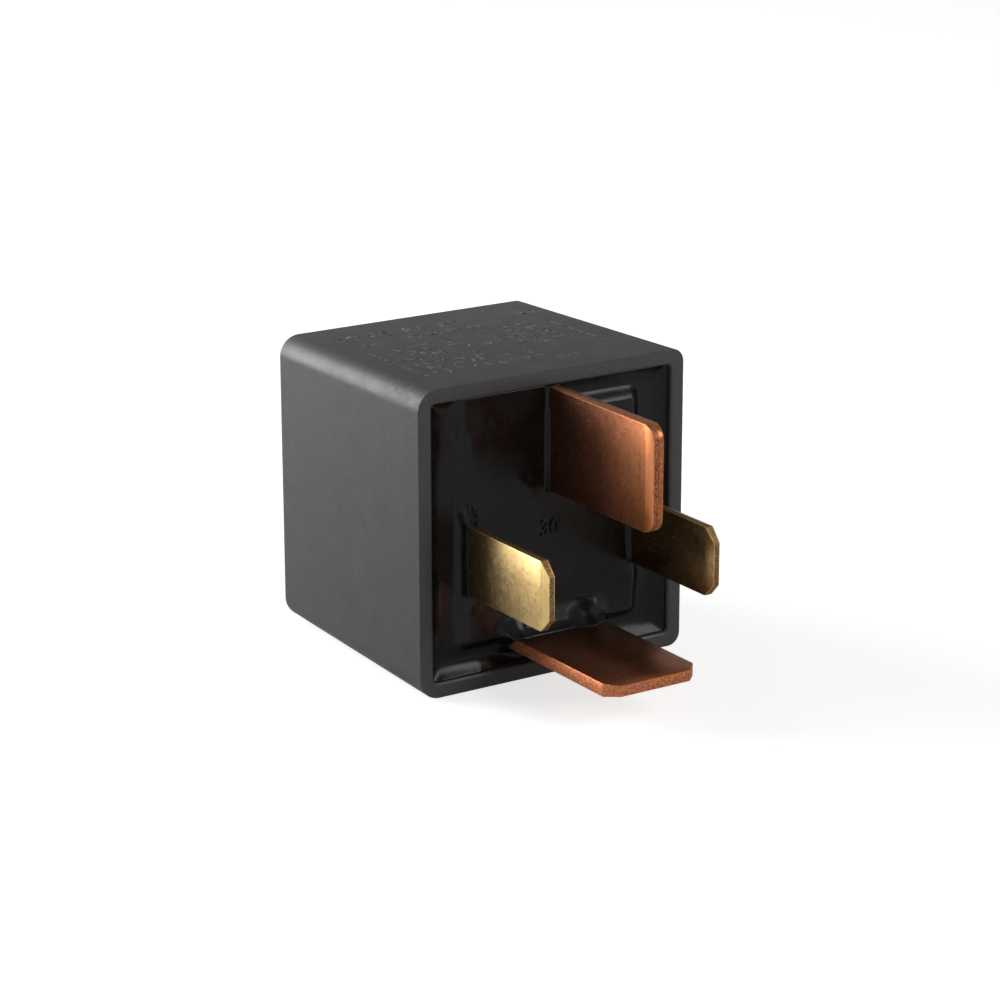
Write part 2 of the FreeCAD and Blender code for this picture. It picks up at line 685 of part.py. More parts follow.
def make_bobbin():
    """Moulded spool with square flanges."""
    body = new_body("bobbin")
    lower = new_sketch(body, "XZ_Plane", "lower_flange", FOOT_TOP, up=CORE_RISE)
    add_box(lower, "0 - " + FLANGE_HALF, FLANGE_HALF, "0 - " + FLANGE_HALF, FLANGE_HALF)
    pad(body, lower, "lower_flange_pad", "flange_thick")
    upper = new_sketch(body, "XZ_Plane", "upper_flange", WIND_TOP, up=CORE_RISE)
    add_box(upper, "0 - " + FLANGE_HALF, FLANGE_HALF, "0 - " + FLANGE_HALF, FLANGE_HALF)
    tube = new_sketch(body, "XZ_Plane", "spool_tube", FOOT_TOP, up=CORE_RISE)
    add_circle(tube, "core_diameter + core_gap * 2 + tube_wall * 2")
    pad(body, tube, "spool_tube_pad", WIND_TOP + " - " + FOOT_TOP)
    flanges = pad(body, upper, "upper_flange_pad", "flange_thick")
    side = value(FLANGE_HALF)
    fillet(body, flanges, "flange_corners", "flange_corner",
           lambda m, a: runs_deep(m, a) and near(abs(m.x), side))
    bore = new_sketch(body, "XZ_Plane", "spool_bore", FOOT_TOP, up=CORE_RISE)
    add_circle(bore, "core_diameter + core_gap * 2")
    pocket(body, bore, "spool_bore_cut", SPOOL_TOP + " - " + FOOT_TOP)
    return body


def make_winding():
    """Copper winding, a little rounded at its ends."""
    body = new_body("coil_winding")
    sketch = new_sketch(body, "YZ_Plane", "winding_profile", up=CORE_RISE)
    inner = "(core_diameter / 2 + core_gap + tube_wall)"
    add_outline(sketch, [
        (WIND_LOW, inner), (WIND_LOW, WINDING_HALF + " - wire_diameter"),
        (WIND_LOW + " + wire_diameter", WINDING_HALF), (WIND_TOP + " - wire_diameter", WINDING_HALF),
        (WIND_TOP, WINDING_HALF + " - wire_diameter"), (WIND_TOP, inner)])
    turn(body, sketch, "winding_turned")
    return body


def open_about_hinge(body):
    """Turns a sub-part from the closed pose, lying on the pole, to the open pose at rest."""
    hinge = FreeCAD.Vector(0, value(HINGE_DEPTH), value(HINGE_RISE))
    swing = FreeCAD.Rotation(FreeCAD.Vector(1, 0, 0), value("open_angle"))
    carried = FreeCAD.Vector(0, value(RIM_PLACE), value(HALF_HEIGHT))
    body.setExpression("Placement.Base.y", None)
    body.setExpression("Placement.Base.z", None)
    body.Placement = FreeCAD.Placement(carried + hinge - swing.multVec(hinge), swing)
    turned_y = "(" + HINGE_DEPTH + " * cos(open_angle) - " + HINGE_RISE + " * sin(open_angle))"
    turned_z = "(" + HINGE_DEPTH + " * sin(open_angle) + " + HINGE_RISE + " * cos(open_angle))"
    bind(body, "Placement.Base.y", RIM_PLACE + " + " + HINGE_DEPTH + " - " + turned_y)
    bind(body, "Placement.Base.z", HALF_HEIGHT + " + " + HINGE_RISE + " - " + turned_z)
    bind(body, "Placement.Rotation.Angle", "open_angle")


def opened(over, away):
    """Depth and height, at rest, of a point over the armature's underside and away from its hinge."""
    return ("(" + HINGE_DEPTH + " + (" + over + ") * cos(open_angle) + (" + away + ") * sin(open_angle))",
            "(" + HINGE_RISE + " + (" + over + ") * sin(open_angle) - (" + away + ") * cos(open_angle))")


def make_armature():
    """Iron plate over the pole, hinged on the yoke's end, narrowed towards its free end."""
    body = new_body("armature")
    outline = new_sketch(body, "XZ_Plane", "armature_outline", HINGE_DEPTH)
    nose = "(armature_nose / 2)"
    add_outline(outline, [
        ("0 - " + ARMATURE_HALF, HINGE_RISE), ("0 - " + ARMATURE_HALF, CORE_RISE),
        ("0 - " + nose, ARMATURE_END), (nose, ARMATURE_END),
        (ARMATURE_HALF, CORE_RISE), (ARMATURE_HALF, HINGE_RISE)])
    plate = pad(body, outline, "armature_plate", "armature_thick")
    top = value(PLATE_TOP)
    rise = value(HINGE_RISE)
    fillet(body, plate, "armature_edge", "armature_round",
           lambda m, a: near(m.y, top) and near(m.z, rise))
    holes = new_sketch(body, "XZ_Plane", "armature_holes", HINGE_DEPTH)
    for side in SIDES:
        add_circle(holes, "rivet_diameter", side + "rivet_pitch / 2", HINGE_RISE + " - rivet_drop")
    pocket(body, holes, "armature_hole_cut", "armature_thick")
    open_about_hinge(body)
    return body


def make_spring():
    """L-shaped leaf, drawn open: back leg on the yoke, front leg on the armature and out past it."""
    body = new_body("contact_spring")
    inside = "(hinge_set + back_gap)"
    outside = "(hinge_set + back_gap + spring_thick)"
    under = "armature_thick"
    upper = "(armature_thick + spring_thick)"

    def meeting(over, out):
        """Where a face of the front leg meets a face of the back leg."""
        rise = "((" + over + ") / cos(open_angle) - (" + out + ") * tan(open_angle))"
        return ("(" + HINGE_DEPTH + " + " + rise + ")", "(" + HINGE_RISE + " + " + out + ")")

    profile = new_sketch(body, "YZ_Plane", "spring_profile")
    add_outline(profile, [
        (SPRING_LEG_END, HINGE_RISE + " + " + inside), meeting(under, inside),
        opened(under, SPRING_REACH), opened(upper, SPRING_REACH),
        meeting(upper, outside), (SPRING_LEG_END, HINGE_RISE + " + " + outside)])
    leaf = pad(body, profile, "spring_leaf", "spring_width", both_ways=True)
    inner_y = value(meeting(under, inside)[0])
    outer_y = value(meeting(upper, outside)[0])
    bent = fillet(body, leaf, "spring_inner_bend", "spring_bend",
                  lambda m, a: runs_across(a) and near(m.y, inner_y))
    fillet(body, bent, "spring_outer_bend", "spring_bend + spring_thick",
           lambda m, a: runs_across(a) and near(m.y, outer_y))
    sides = new_sketch(body, "XZ_Plane", "spring_sides", POLE_FACE)
    for side in SIDES:
        add_outline(sides, [
            (side + "spring_nose / 2", "0 - " + THROUGH), (side + THROUGH, "0 - " + THROUGH),
            (side + THROUGH, CORE_RISE), (side + "spring_width / 2", CORE_RISE),
            (side + "spring_nose / 2", ARMATURE_END)])
    pocket(body, sides, "spring_side_cut", THROUGH)
    middle = "armature_thick + spring_thick / 2"
    front = new_sketch(body, "XZ_Plane", "front_holes", POLE_FACE)
    for side in SIDES:
        add_circle(front, "rivet_diameter + slot_gap * 2", side + "rivet_pitch / 2",
                   opened(middle, "rivet_drop")[1])
    add_circle(front, "shank_diameter + slot_gap * 2", "0", opened(middle, CONTACT_ARM)[1])
    pocket(body, front, "front_hole_cut", THROUGH)
    back = new_sketch(body, "XY_Plane", "back_holes", YOKE_FACE)
    for side in SIDES:
        add_circle(back, "rivet_diameter + slot_gap * 2", side + "rivet_pitch / 2", YOKE_RIVETS)
    pocket(body, back, "back_hole_cut", THROUGH)
    return body


def make_moving_contact():
    """Silver contact rivet in the spring's nose: head towards the fixed contact, clinch outside."""
    body = new_body("moving_contact")
    sketch = new_sketch(body, "YZ_Plane", "moving_profile", up="0 - " + CONTACT_DROP)
    leaf_top = "(" + PLATE_TOP + " + spring_thick)"
    head = "(" + PLATE_TOP + " - moving_head)"
    add_outline(sketch, [
        (head, "0"), (leaf_top + " + clinch_thick", "0"),
        (leaf_top + " + clinch_thick", "clinch_diameter / 2"),
        (leaf_top, "clinch_diameter / 2"), (leaf_top, "shank_diameter / 2"),
        (PLATE_TOP, "shank_diameter / 2"),
        (PLATE_TOP, "contact_diameter / 2"), (head, "contact_diameter / 2")])
    turn(body, sketch, "moving_turned")
    open_about_hinge(body)
    return body


def make_fixed_contact():
    """Silver contact rivet on terminal 87's foot."""
    body = new_body("fixed_contact")
    sketch = new_sketch(body, "YZ_Plane", "fixed_profile", up="0 - " + CONTACT_DROP)
    under = "(" + FOOT_FACE + " - load_thick)"
    add_outline(sketch, [
        (under + " - clinch_thick", "0"), (FOOT_FACE + " + fixed_head", "0"),
        (FOOT_FACE + " + fixed_head", "contact_diameter / 2"), (FOOT_FACE, "contact_diameter / 2"),
        (FOOT_FACE, "shank_diameter / 2"), (under, "shank_diameter / 2"),
        (under, "clinch_diameter / 2"), (under + " - clinch_thick", "clinch_diameter / 2")])
    turn(body, sketch, "fixed_turned")
    return body


def rivet_profile(low, high):
    """Half section of a rivet with a tapered clinch over its shank, as distance along and radius."""
    return [(low, "0"), (high + " + clinch_thick", "0"), (high + " + clinch_thick", "rivet_diameter / 2"),
            (high + " + clinch_thick / 2", "clinch_diameter / 2"), (high, "clinch_diameter / 2"),
            (high, "rivet_diameter / 2"), (low, "rivet_diameter / 2")]


def make_armature_rivets():
    """Two rivets through the armature, clinched over the spring's front leg."""
    body = new_body("armature_rivets")
    sketch = new_sketch(body, "YZ_Plane", "armature_rivet_profile", "rivet_pitch / 2",
                        up=HINGE_RISE + " - rivet_drop")
    add_outline(sketch, rivet_profile(HINGE_DEPTH, PLATE_TOP + " + spring_thick"))
    mirror(body, turn(body, sketch, "armature_rivet"), "armature_rivet_pair")
    open_about_hinge(body)
    return body


def make_yoke_rivets():
    """Two rivets through the yoke's leg, clinched over the spring's back leg."""
    body = new_body("yoke_rivets")
    sketch = new_sketch(body, "XZ_Plane", "yoke_rivet_profile", YOKE_RIVETS, across="rivet_pitch / 2")
    profile = rivet_profile(YOKE_FACE, YOKE_BACK + " + back_gap + spring_thick")
    add_outline(sketch, [(radius, along) for along, radius in profile])
    mirror(body, turn(body, sketch, "yoke_rivet", "V_Axis"), "yoke_rivet_pair")
    return body


def make_stop():
    """Bent strip rooted in the base, whose tongue limits how far the spring opens."""
    body = new_body("stop_bracket")
    outer = "(0 - " + STOP_BACK + ")"
    rest = opened("armature_thick + spring_thick", SPRING_REACH)[0]
    tongue_low = "(" + rest + " + stop_rest)"
    strip = new_sketch(body, "XZ_Plane", "stop_strip", "base_floor - stop_root")
    add_box(strip, "stop_side", "stop_side + stop_width", outer, outer + " + stop_thick")
    pad(body, strip, "stop_strip_pad", tongue_low + " + stop_thick - base_floor + stop_root")
    tongue = new_sketch(body, "XZ_Plane", "stop_tongue", tongue_low)
    add_box(tongue, "0 - stop_over", "stop_side + stop_width", outer, outer + " + stop_reach")
    bent = pad(body, tongue, "stop_tongue_pad", "stop_thick")
    far = value(tongue_low + " + stop_thick")
    edge = value(outer)
    fillet(body, bent, "stop_bend_round", "stop_bend", lambda m, a: near(m.y, far) and near(m.z, edge))
    return body


def make_resistor():
    """Suppression resistor: dog-bone body lying across the relay between the coil's two tags."""
    body = new_body("resistor")
    sketch = new_sketch(body, "XY_Plane", "resistor_profile", RESISTOR_LEVEL, up=RESISTOR_DEPTH)
    end = "(resistor_length / 2)"
    cap = "(resistor_length / 2 - resistor_cap)"
    waist = "(resistor_diameter / 2 - resistor_waist)"
    full = "(resistor_diameter / 2)"
    add_outline(sketch, [
        ("0 - " + end, "0"), (end, "0"), (end, waist), (end + " - resistor_waist", full),
        (cap, full), (cap + " - resistor_waist", waist), ("resistor_waist - " + cap, waist),
        ("0 - " + cap, full), ("resistor_waist - " + end, full), ("0 - " + end, waist)])
    turn(body, sketch, "resistor_turned")
    return body


def round_wire(points, diameter):
    """Round wire along straight runs joined by tangent arcs, each as large as its two runs allow."""
    edges = []
    start = points[0]
    for before, corner, after in zip(points, points[1:], points[2:]):
        back = (before - corner).normalize()
        ahead = (after - corner).normalize()
        half_turn = (math.pi - back.getAngle(ahead)) / 2
        cut = BEND_SHARE * min((before - corner).Length, (after - corner).Length)
        radius = cut / math.tan(half_turn)
        inward = (back + ahead).normalize()
        middle = corner + inward * (radius / math.cos(half_turn) - radius)
        entry = corner + back * cut
        leave = corner + ahead * cut
        edges.append(Part.LineSegment(start, entry).toShape())
        edges.append(Part.Arc(entry, middle, leave).toShape())
        start = leave
        print("wire bend radius %.2f" % radius)
    edges.append(Part.LineSegment(start, points[-1]).toShape())
    path = Part.Wire(edges)
    section = Part.Wire(Part.makeCircle(diameter / 2, points[0], points[1] - points[0]))
    return path.makePipeShell([section], True, False)


def place_feature(name, shape):
    """Sub-part whose shape comes from the sheet's values, carried like the bodies are."""
    item = doc.addObject("Part::Feature", name)
    item.Label = name
    item.Shape = shape
    item.Placement = FreeCAD.Placement()
    bind(item, "Placement.Base.y", RIM_PLACE)
    bind(item, "Placement.Base.z", HALF_HEIGHT)
    return item


def make_coil_lead(name, side):
    """One end of the winding's wire, from the winding to its terminal's tag."""
    wire = value("wire_diameter")
    touch = value("wire_touch")
    leave_x = value(WINDING_HALF) + wire / 2 + touch
    tag_x = value(COIL_FACE) - wire / 2 - touch
    leave_y = value(WIND_LOW + " + lead_rise")
    tag_y = value(NECK_END + " + tag_length / 2")
    core_z = value(CORE_RISE)
    tag_top = value("0 - coil_drop + tag_width / 2")
    tag_low = value("0 - coil_drop - tag_width / 2")
    points = [
        FreeCAD.Vector(side * leave_x, leave_y, core_z),
        FreeCAD.Vector(side * leave_x, leave_y, (core_z + tag_top) / 2),
        FreeCAD.Vector(side * tag_x, tag_y, tag_top),
        FreeCAD.Vector(side * tag_x, tag_y, tag_low)]
    return place_feature(name, round_wire(points, wire))


def make_resistor_leads():
    """Two stiff wires from the resistor's ends to the coil terminals' necks."""
    wire = value("lead_diameter")
    end_x = value("resistor_length / 2")
    neck_x = value(COIL_FACE) - wire / 2 - value("wire_touch")
    depth = value(RESISTOR_DEPTH)
    low_z = value(RESISTOR_LEVEL)
    high_z = value("0 - coil_drop - lead_end")
    wires = []
    for side in (-1, 1):
        points = [FreeCAD.Vector(side * end_x, depth, low_z), FreeCAD.Vector(side * neck_x, depth, low_z),
                  FreeCAD.Vector(side * neck_x, depth, high_z)]
        wires.append(round_wire(points, wire))
    return place_feature("resistor_leads", Part.makeCompound(wires))


def main():
    """Builds every sub-part, checks the document and writes one STEP file for each sub-part."""
    parts = [
        make_cover(), make_base(), make_potting(),
        make_terminal_30(), make_terminal_87(),
        make_coil_terminal("terminal_85", "1"), make_coil_terminal("terminal_86", "(0 - 1)"),
        make_yoke(), make_core(), make_bobbin(), make_winding(),
        make_coil_lead("coil_lead_start", 1), make_coil_lead("coil_lead_end", -1),
        make_resistor(), make_resistor_leads(),
        make_fixed_contact(), make_yoke_rivets(), make_stop(),
        make_armature(), make_spring(), make_moving_contact(), make_armature_rivets(),
    ]
    doc.recompute()
    for item in doc.Objects:
        if {"Invalid", "Error"} & set(item.State):
            raise RuntimeError("%s is %s" % (item.Name, item.State))
    for item in parts:
        if item.Shape.isNull() or not item.Shape.isValid():
            raise RuntimeError(item.Label + " has no valid shape")
    os.makedirs("parts", exist_ok=True)
    for item in parts:
        item.Shape.exportStep("parts/%s.step" % item.Label)
        print("%-16s %2d solids %9.3f mm3" % (item.Label, len(item.Shape.Solids), item.Shape.Volume))


main()
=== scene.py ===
"""Looks of a four-terminal automotive relay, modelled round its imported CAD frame."""

import math

import bmesh
import bpy
from mathutils import Matrix, Vector


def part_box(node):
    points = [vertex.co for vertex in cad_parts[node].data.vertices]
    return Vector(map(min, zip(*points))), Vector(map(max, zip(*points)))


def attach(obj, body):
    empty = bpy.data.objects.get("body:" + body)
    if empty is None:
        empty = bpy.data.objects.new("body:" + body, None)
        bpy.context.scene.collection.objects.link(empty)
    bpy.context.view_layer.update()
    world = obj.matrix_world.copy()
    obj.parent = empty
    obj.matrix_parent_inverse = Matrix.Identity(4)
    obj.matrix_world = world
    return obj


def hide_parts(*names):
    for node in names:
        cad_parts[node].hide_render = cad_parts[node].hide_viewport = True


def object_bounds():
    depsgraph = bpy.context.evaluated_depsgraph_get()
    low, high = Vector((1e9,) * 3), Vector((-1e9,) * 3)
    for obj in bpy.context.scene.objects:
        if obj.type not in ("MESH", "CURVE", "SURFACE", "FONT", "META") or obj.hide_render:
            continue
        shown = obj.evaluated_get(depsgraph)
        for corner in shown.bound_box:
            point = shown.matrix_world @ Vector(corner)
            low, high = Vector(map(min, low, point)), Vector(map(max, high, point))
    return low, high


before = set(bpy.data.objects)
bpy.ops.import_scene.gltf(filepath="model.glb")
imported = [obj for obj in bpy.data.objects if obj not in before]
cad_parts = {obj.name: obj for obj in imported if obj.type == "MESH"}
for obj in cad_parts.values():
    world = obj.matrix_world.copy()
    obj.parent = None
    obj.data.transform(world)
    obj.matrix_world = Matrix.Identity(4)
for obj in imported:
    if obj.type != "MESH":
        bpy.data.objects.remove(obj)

bl_info = {
    "name": "Automotive relay",
    "version": (1, 0, 0),
    "blender": (4, 5, 0),
    "location": "View3D > Sidebar > Relay",
    "description": "Cover, sealed base, terminals and mechanism of a plug-in relay",
    "category": "Object",
}

MM = 0.001
AXES = {"x": 0, "y": 1, "z": 2}
COVER_LOW, COVER_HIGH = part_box("cover")
CAD_LOW, CAD_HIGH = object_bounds()

# The rim's depth and the height of the cover's middle, in metres
RIM = COVER_LOW.y
MIDDLE = (COVER_LOW.z + COVER_HIGH.z) / 2

# Angles in degrees above which an edge is rounded or stays sharp in the shading, and the cover's draft
ROUNDED_ABOVE = 28.0
SHARP_ABOVE = 30.0
DRAFT = 1.12

# Thickness and nose radius of the load and coil blades, in mm
LOAD_THICKNESS, LOAD_NOSE = 1.2, 1.4
COIL_THICKNESS, COIL_NOSE = 0.8, 1.2

# Poured compound, all in mm. It climbs the wall by a height that fades over a reach.
WALL_CLIMB, WALL_REACH = 0.68, 1.6
WALL_MARGIN = 0.03
FILM_INSET, FILM_REACH = 0.15, 1.3
POUR_DEPTH, POUR_FLOOR = 1.6, 0.9
RIPPLE_SIZE, RIPPLE_HEIGHT = 3.2, 0.1
SETTLING_BEFORE, SETTLING_AFTER = 12, 5
SMALLEST_SPOT = 0.12

# How far the plateau's top lies under the film that is seen there
PLATEAU_SINK = 0.15

# Left, right, bottom and top of the stretch where the compound ran up to the upper wall
FLOODED = (-9.2, -1.0, 23.9, 27.4)

# Broad swells: left, right, bottom and top, then rise and reach
MOUNDS = (
    ((-3.4, 4.4, 3.6, 4.9), 0.7, 2.0), ((-11.4, -7.6, 1.4, 1.5), 0.14, 1.0),
    ((7.4, 9.4, 1.4, 1.7), 0.1, 1.6))

# Round heaps: x and z, then reach and rise
HEAPS = (
    ((-8.9, 16.1), 1.0, 0.45), ((3.0, 4.7), 1.7, 0.55), ((-4.6, 4.8), 1.4, 0.4), ((-8.8, 8.2), 1.3, 0.25),
    ((-7.4, 24.2), 1.0, 0.12), ((8.9, 7.4), 1.6, 0.2), ((-3.4, 18.4), 0.7, 0.1), ((-2.4, 17.5), 0.8, 0.1),
    ((-6.7, 23.4), 0.5, 0.1), ((6.9, 9.4), 1.8, 0.18), ((0.6, 8.2), 1.8, 0.12))

# Collars that crept up the blades: rise and reach
COLLARS = {
    "terminal_30": (0.62, 0.3), "terminal_85": (0.5, 0.3), "terminal_86": (0.6, 0.35),
    "terminal_87": (1.1, 0.9)}
COLLAR_MARGIN = 0.08

# Marking on the upper side, in mm: x from the middle and the distance from the rim
MARK_WIDTH, MARK_DEPTH, MARK_SUNK = 0.2, 0.012, 0.006
SIDE_LINES = ((-10.3, 3.8, -10.3, 16.7), (10.1, 5.9, 10.1, 17.7))
COIL_BOX = (-9.0, 10.4, -6.2, 13.0)
RESISTOR_BOX = (2.0, 10.0, 3.6, 13.4)
WIRES = (
    (-7.6, 9.2, -7.6, 10.4), (-7.6, 13.0, -7.6, 14.6), (-2.0, 9.2, -2.0, 10.6), (-2.0, 13.2, -2.0, 14.8),
    (2.8, 9.0, 2.8, 10.0), (2.8, 13.4, 2.8, 15.2), (-7.6, 14.6, 2.8, 15.2))
SWITCH = ((-2.0, 10.6, -0.7, 12.9), (-2.5, 13.2, -1.5, 13.2))

# Rows of plain figures: the left foot's x and distance from the rim, the figures and their height
FIGURES = (
    (-10.4, 19.6, "30 85 86 87", 1.8), (9.4, 19.6, "12", 1.4), (-4.2, 17.4, "12 30 87 86", 1.1),
    (-9.4, 16.4, "30", 1.1), (4.4, 15.8, "24 85", 1.1), (4.4, 14.2, "30 87", 1.1), (4.4, 12.6, "86 12", 1.1),
    (4.4, 11.0, "85 24", 1.1), (4.4, 9.4, "12 30", 1.1), (-5.4, 12.6, "87", 1.0), (-5.6, 10.6, "85", 1.0),
    (0.1, 11.2, "86", 0.9), (-9.2, 7.8, "85 30 86 24", 1.0), (-8.8, 6.2, "86 30 85 87 12", 1.15),
    (-9.4, 4.5, "1 2 3 4 5 6 7 8 9", 1.1), (2.6, 3.0, "30 87", 1.0))
FIGURE_BODY, FIGURE_SPACING, FIGURE_WEIGHT = 1.35, 1.15, 0.03

# Raised terminal number on the plateau, in mm: place, height, half its depth and its rounding
NUMBER_PLACE = (-1.35, 13.0)
NUMBER_HEIGHT, NUMBER_DEPTH, NUMBER_ROUNDING = 2.1, 0.11, 0.035

# Height less x in mm where the wear of the upper left edge begins and where it is full; it is painted
# lighter, partly as a highlight
CHAFED_SHEEN = (40.3, 41.0)

# A wave texture's turns lie this far apart at a scale of 1, in metres
WAVE_UNIT = 0.314

# The resistor's rings: where each begins along the body, and its colour
RINGS = (
    (0.2, (0.16, 0.04, 0.02)), (0.36, (0.02, 0.02, 0.02)), (0.52, (0.5, 0.03, 0.02)),
    (0.76, (0.6, 0.38, 0.08)))
RING_WIDTH, RING_BLUR = 0.06, 0.004

SILVER = (0.83, 0.81, 0.76)
BRONZE = (0.72, 0.42, 0.22)
TIN = (0.62, 0.62, 0.6)
SPOOL = (0.62, 0.57, 0.44)
LACQUER_DARK = (0.17, 0.37, 0.43)
LACQUER_LIGHT = (0.22, 0.45, 0.51)
DUST = (0.05, 0.046, 0.04)
WHITE = (1.0, 1.0, 1.0)

# Camera fitted to the photograph: azimuth, elevation and roll in degrees, then mm from the aimed place
CAMERA_ANGLES = (-32.844, 17.103, -0.1)
CAMERA_AIM = 11.0
CAMERA_BACK, CAMERA_RIGHT, CAMERA_DOWN = 289.66, 1.202, 0.676
CAMERA_LENS, CAMERA_SENSOR = 113.916, 36.0

# Soft boxes: the way to each, its distance and width in metres and its power in watts
SOFT_BOXES = {
    "key_light": ((-0.6, 0.74, 0.29), 0.6, 0.46, 3.7), "fill_light": ((0.55, -0.65, 0.52), 0.45, 0.24, 0.6)}
LIT_PLACE = (0.0, -3.0, 14.0)

# Stops of the light from all round over the height, and of the mirrored room over its slant in x and y
SKY = ((0.0, 0.98), (0.5, 0.06))
ROOM = ((0.1, 0.34), (0.6, 0.3), (0.95, 1.0))
ROOM_SLANT = (-0.45, 0.3)

FLOOR_SIZE = 4.0
FLOOR_GLOW, FLOOR_MIRRORED = 0.7, 0.12


class RelaySizes(bpy.types.PropertyGroup):
    """Sizes of the relay's finish."""

    blade_edge: bpy.props.FloatProperty(
        name="Blade edge", description="Rounding of the terminals' punched edges",
        default=0.05 * MM, min=0.0, unit="LENGTH")
    cover_edge: bpy.props.FloatProperty(
        name="Cover edge", description="Rounding of the cover's sharp edges",
        default=0.1 * MM, min=0.0, unit="LENGTH")
    base_edge: bpy.props.FloatProperty(
        name="Base edge", description="Rounding of the base's edges",
        default=0.06 * MM, min=0.0, unit="LENGTH")
    potting_level: bpy.props.FloatProperty(
        name="Potting level", description="Depth of the sealing compound below the rim",
        default=1.1 * MM, min=0.0, unit="LENGTH")
    plateau_level: bpy.props.FloatProperty(
        name="Plateau level", description="Depth of the base's plateau below the rim",
        default=0.25 * MM, min=0.0, unit="LENGTH")
    wire: bpy.props.FloatProperty(
        name="Wire", description="Pitch of the winding's turns",
        default=0.16 * MM, min=0.02 * MM, unit="LENGTH")
    film: bpy.props.FloatProperty(
        name="Film", description="Thickness of the compound that ran over the plateau",
        default=0.04 * MM, min=0.0, unit="LENGTH")
    potting_grid: bpy.props.IntProperty(
        name="Potting grid", description="Cells along each side of the poured surface",
        default=220, min=40, max=220)
    grain: bpy.props.FloatProperty(
        name="Grain", description="Height of the moulded grain on the cover",
        default=0.012 * MM, min=0.0, unit="LENGTH")


class RelayColours(bpy.types.PropertyGroup):
    """Colours of the relay's finishes."""

    case: bpy.props.FloatVectorProperty(
        name="Case", description="Moulded cover", subtype="COLOR", size=3,
        default=(0.055, 0.055, 0.0565), min=0.0, max=1.0)
    base: bpy.props.FloatVectorProperty(
        name="Base", description="Moulded base", subtype="COLOR", size=3,
        default=(0.006, 0.006, 0.0063), min=0.0, max=1.0)
    potting: bpy.props.FloatVectorProperty(
        name="Potting", description="Sealing compound", subtype="COLOR", size=3,
        default=(0.0035, 0.0035, 0.0037), min=0.0, max=1.0)
    copper: bpy.props.FloatVectorProperty(
        name="Copper", description="Clean copper of the load terminals", subtype="COLOR", size=3,
        default=(0.58, 0.208, 0.086), min=0.0, max=1.0)
    # Dull copper also serves as the painted shade towards the load blades' roots
    copper_dull: bpy.props.FloatVectorProperty(
        name="Dull copper", description="Tarnished copper of the load terminals", subtype="COLOR",
        size=3, default=(0.225, 0.095, 0.06), min=0.0, max=1.0)
    brass: bpy.props.FloatVectorProperty(
        name="Brass", description="Clean brass of the coil terminals", subtype="COLOR", size=3,
        default=(0.95, 0.68, 0.295), min=0.0, max=1.0)
    # Dull brass also serves as the painted shade towards the coil blades' roots
    brass_dull: bpy.props.FloatVectorProperty(
        name="Dull brass", description="Tarnished brass of the coil terminals", subtype="COLOR",
        size=3, default=(0.315, 0.207, 0.1), min=0.0, max=1.0)
    etching: bpy.props.FloatVectorProperty(
        name="Etching", description="Marks burnt into the cover", subtype="COLOR", size=3,
        default=(0.36, 0.31, 0.28), min=0.0, max=1.0)
    enamel: bpy.props.FloatVectorProperty(
        name="Enamel", description="Enamelled winding wire", subtype="COLOR", size=3,
        default=(0.42, 0.13, 0.045), min=0.0, max=1.0)
    steel: bpy.props.FloatVectorProperty(
        name="Steel", description="Plated magnet iron", subtype="COLOR", size=3,
        default=(0.56, 0.56, 0.53), min=0.0, max=1.0)


def sizes():
    return bpy.context.scene.relay_sizes


def colours():
    return bpy.context.scene.relay_colours


# Building blocks of the finishes. A noise's scale is its number of waves along a metre.


def new_finish(name):
    """Material with its output and its shader alone."""
    finish = bpy.data.materials.new(name)
    finish.use_nodes = True
    tree = finish.node_tree
    tree.nodes.clear()
    output = tree.nodes.new("ShaderNodeOutputMaterial")
    shader = tree.nodes.new("ShaderNodeBsdfPrincipled")
    tree.links.new(shader.outputs["BSDF"], output.inputs["Surface"])
    return finish, tree, shader


def give(tree, socket, value):
    """Links an output to an input, or sets a constant on it."""
    if isinstance(value, bpy.types.NodeSocket):
        tree.links.new(value, socket)
    else:
        socket.default_value = value


def set_inputs(tree, node, values):
    """Gives a node's inputs their values by name."""
    for name, value in values.items():
        give(tree, node.inputs[name], value)


def colour4(colour, share=1.0):
    """Colour made brighter by a share, with full cover."""
    return tuple(min(part * share, 1.0) for part in colour[:3]) + (1.0,)


def colour_mix(one, other, share):
    return tuple(a + (b - a) * share for a, b in zip(one, other))


def object_place(tree, stretch=(1.0, 1.0, 1.0)):
    """Object coordinates, stretched along the axes."""
    place = tree.nodes.new("ShaderNodeTexCoord")
    mapping = tree.nodes.new("ShaderNodeMapping")
    mapping.inputs["Scale"].default_value = stretch
    tree.links.new(place.outputs["Object"], mapping.inputs["Vector"])
    return mapping.outputs["Vector"]


def split(tree, vector):
    """The three parts of a vector."""
    parts = tree.nodes.new("ShaderNodeSeparateXYZ")
    tree.links.new(vector, parts.inputs[0])
    return parts.outputs


def noise(tree, place, scale, detail=3.0, roughness=0.55, distortion=0.0):
    texture = tree.nodes.new("ShaderNodeTexNoise")
    set_inputs(tree, texture, {
        "Vector": place, "Scale": scale, "Detail": detail, "Roughness": roughness,
        "Distortion": distortion})
    return texture.outputs[0]


def ramp(tree, value, *stops):
    """Colour ramp over a value; each stop is a place and a grey or a colour."""
    made = tree.nodes.new("ShaderNodeValToRGB")
    marks = made.color_ramp.elements
    while len(marks) < len(stops):
        marks.new(0.5)
    for mark, (place, shade) in zip(marks, stops):
        mark.position = place
        mark.color = (shade, shade, shade, 1.0) if isinstance(shade, float) else colour4(shade)
    tree.links.new(value, made.inputs["Fac"])
    return made.outputs["Color"]


def patches(tree, place, scale, low, high, **kind):
    """Share that grows from 0 to 1 between two values of a noise."""
    return ramp(tree, noise(tree, place, scale, **kind), (low, 0.0), (high, 1.0))


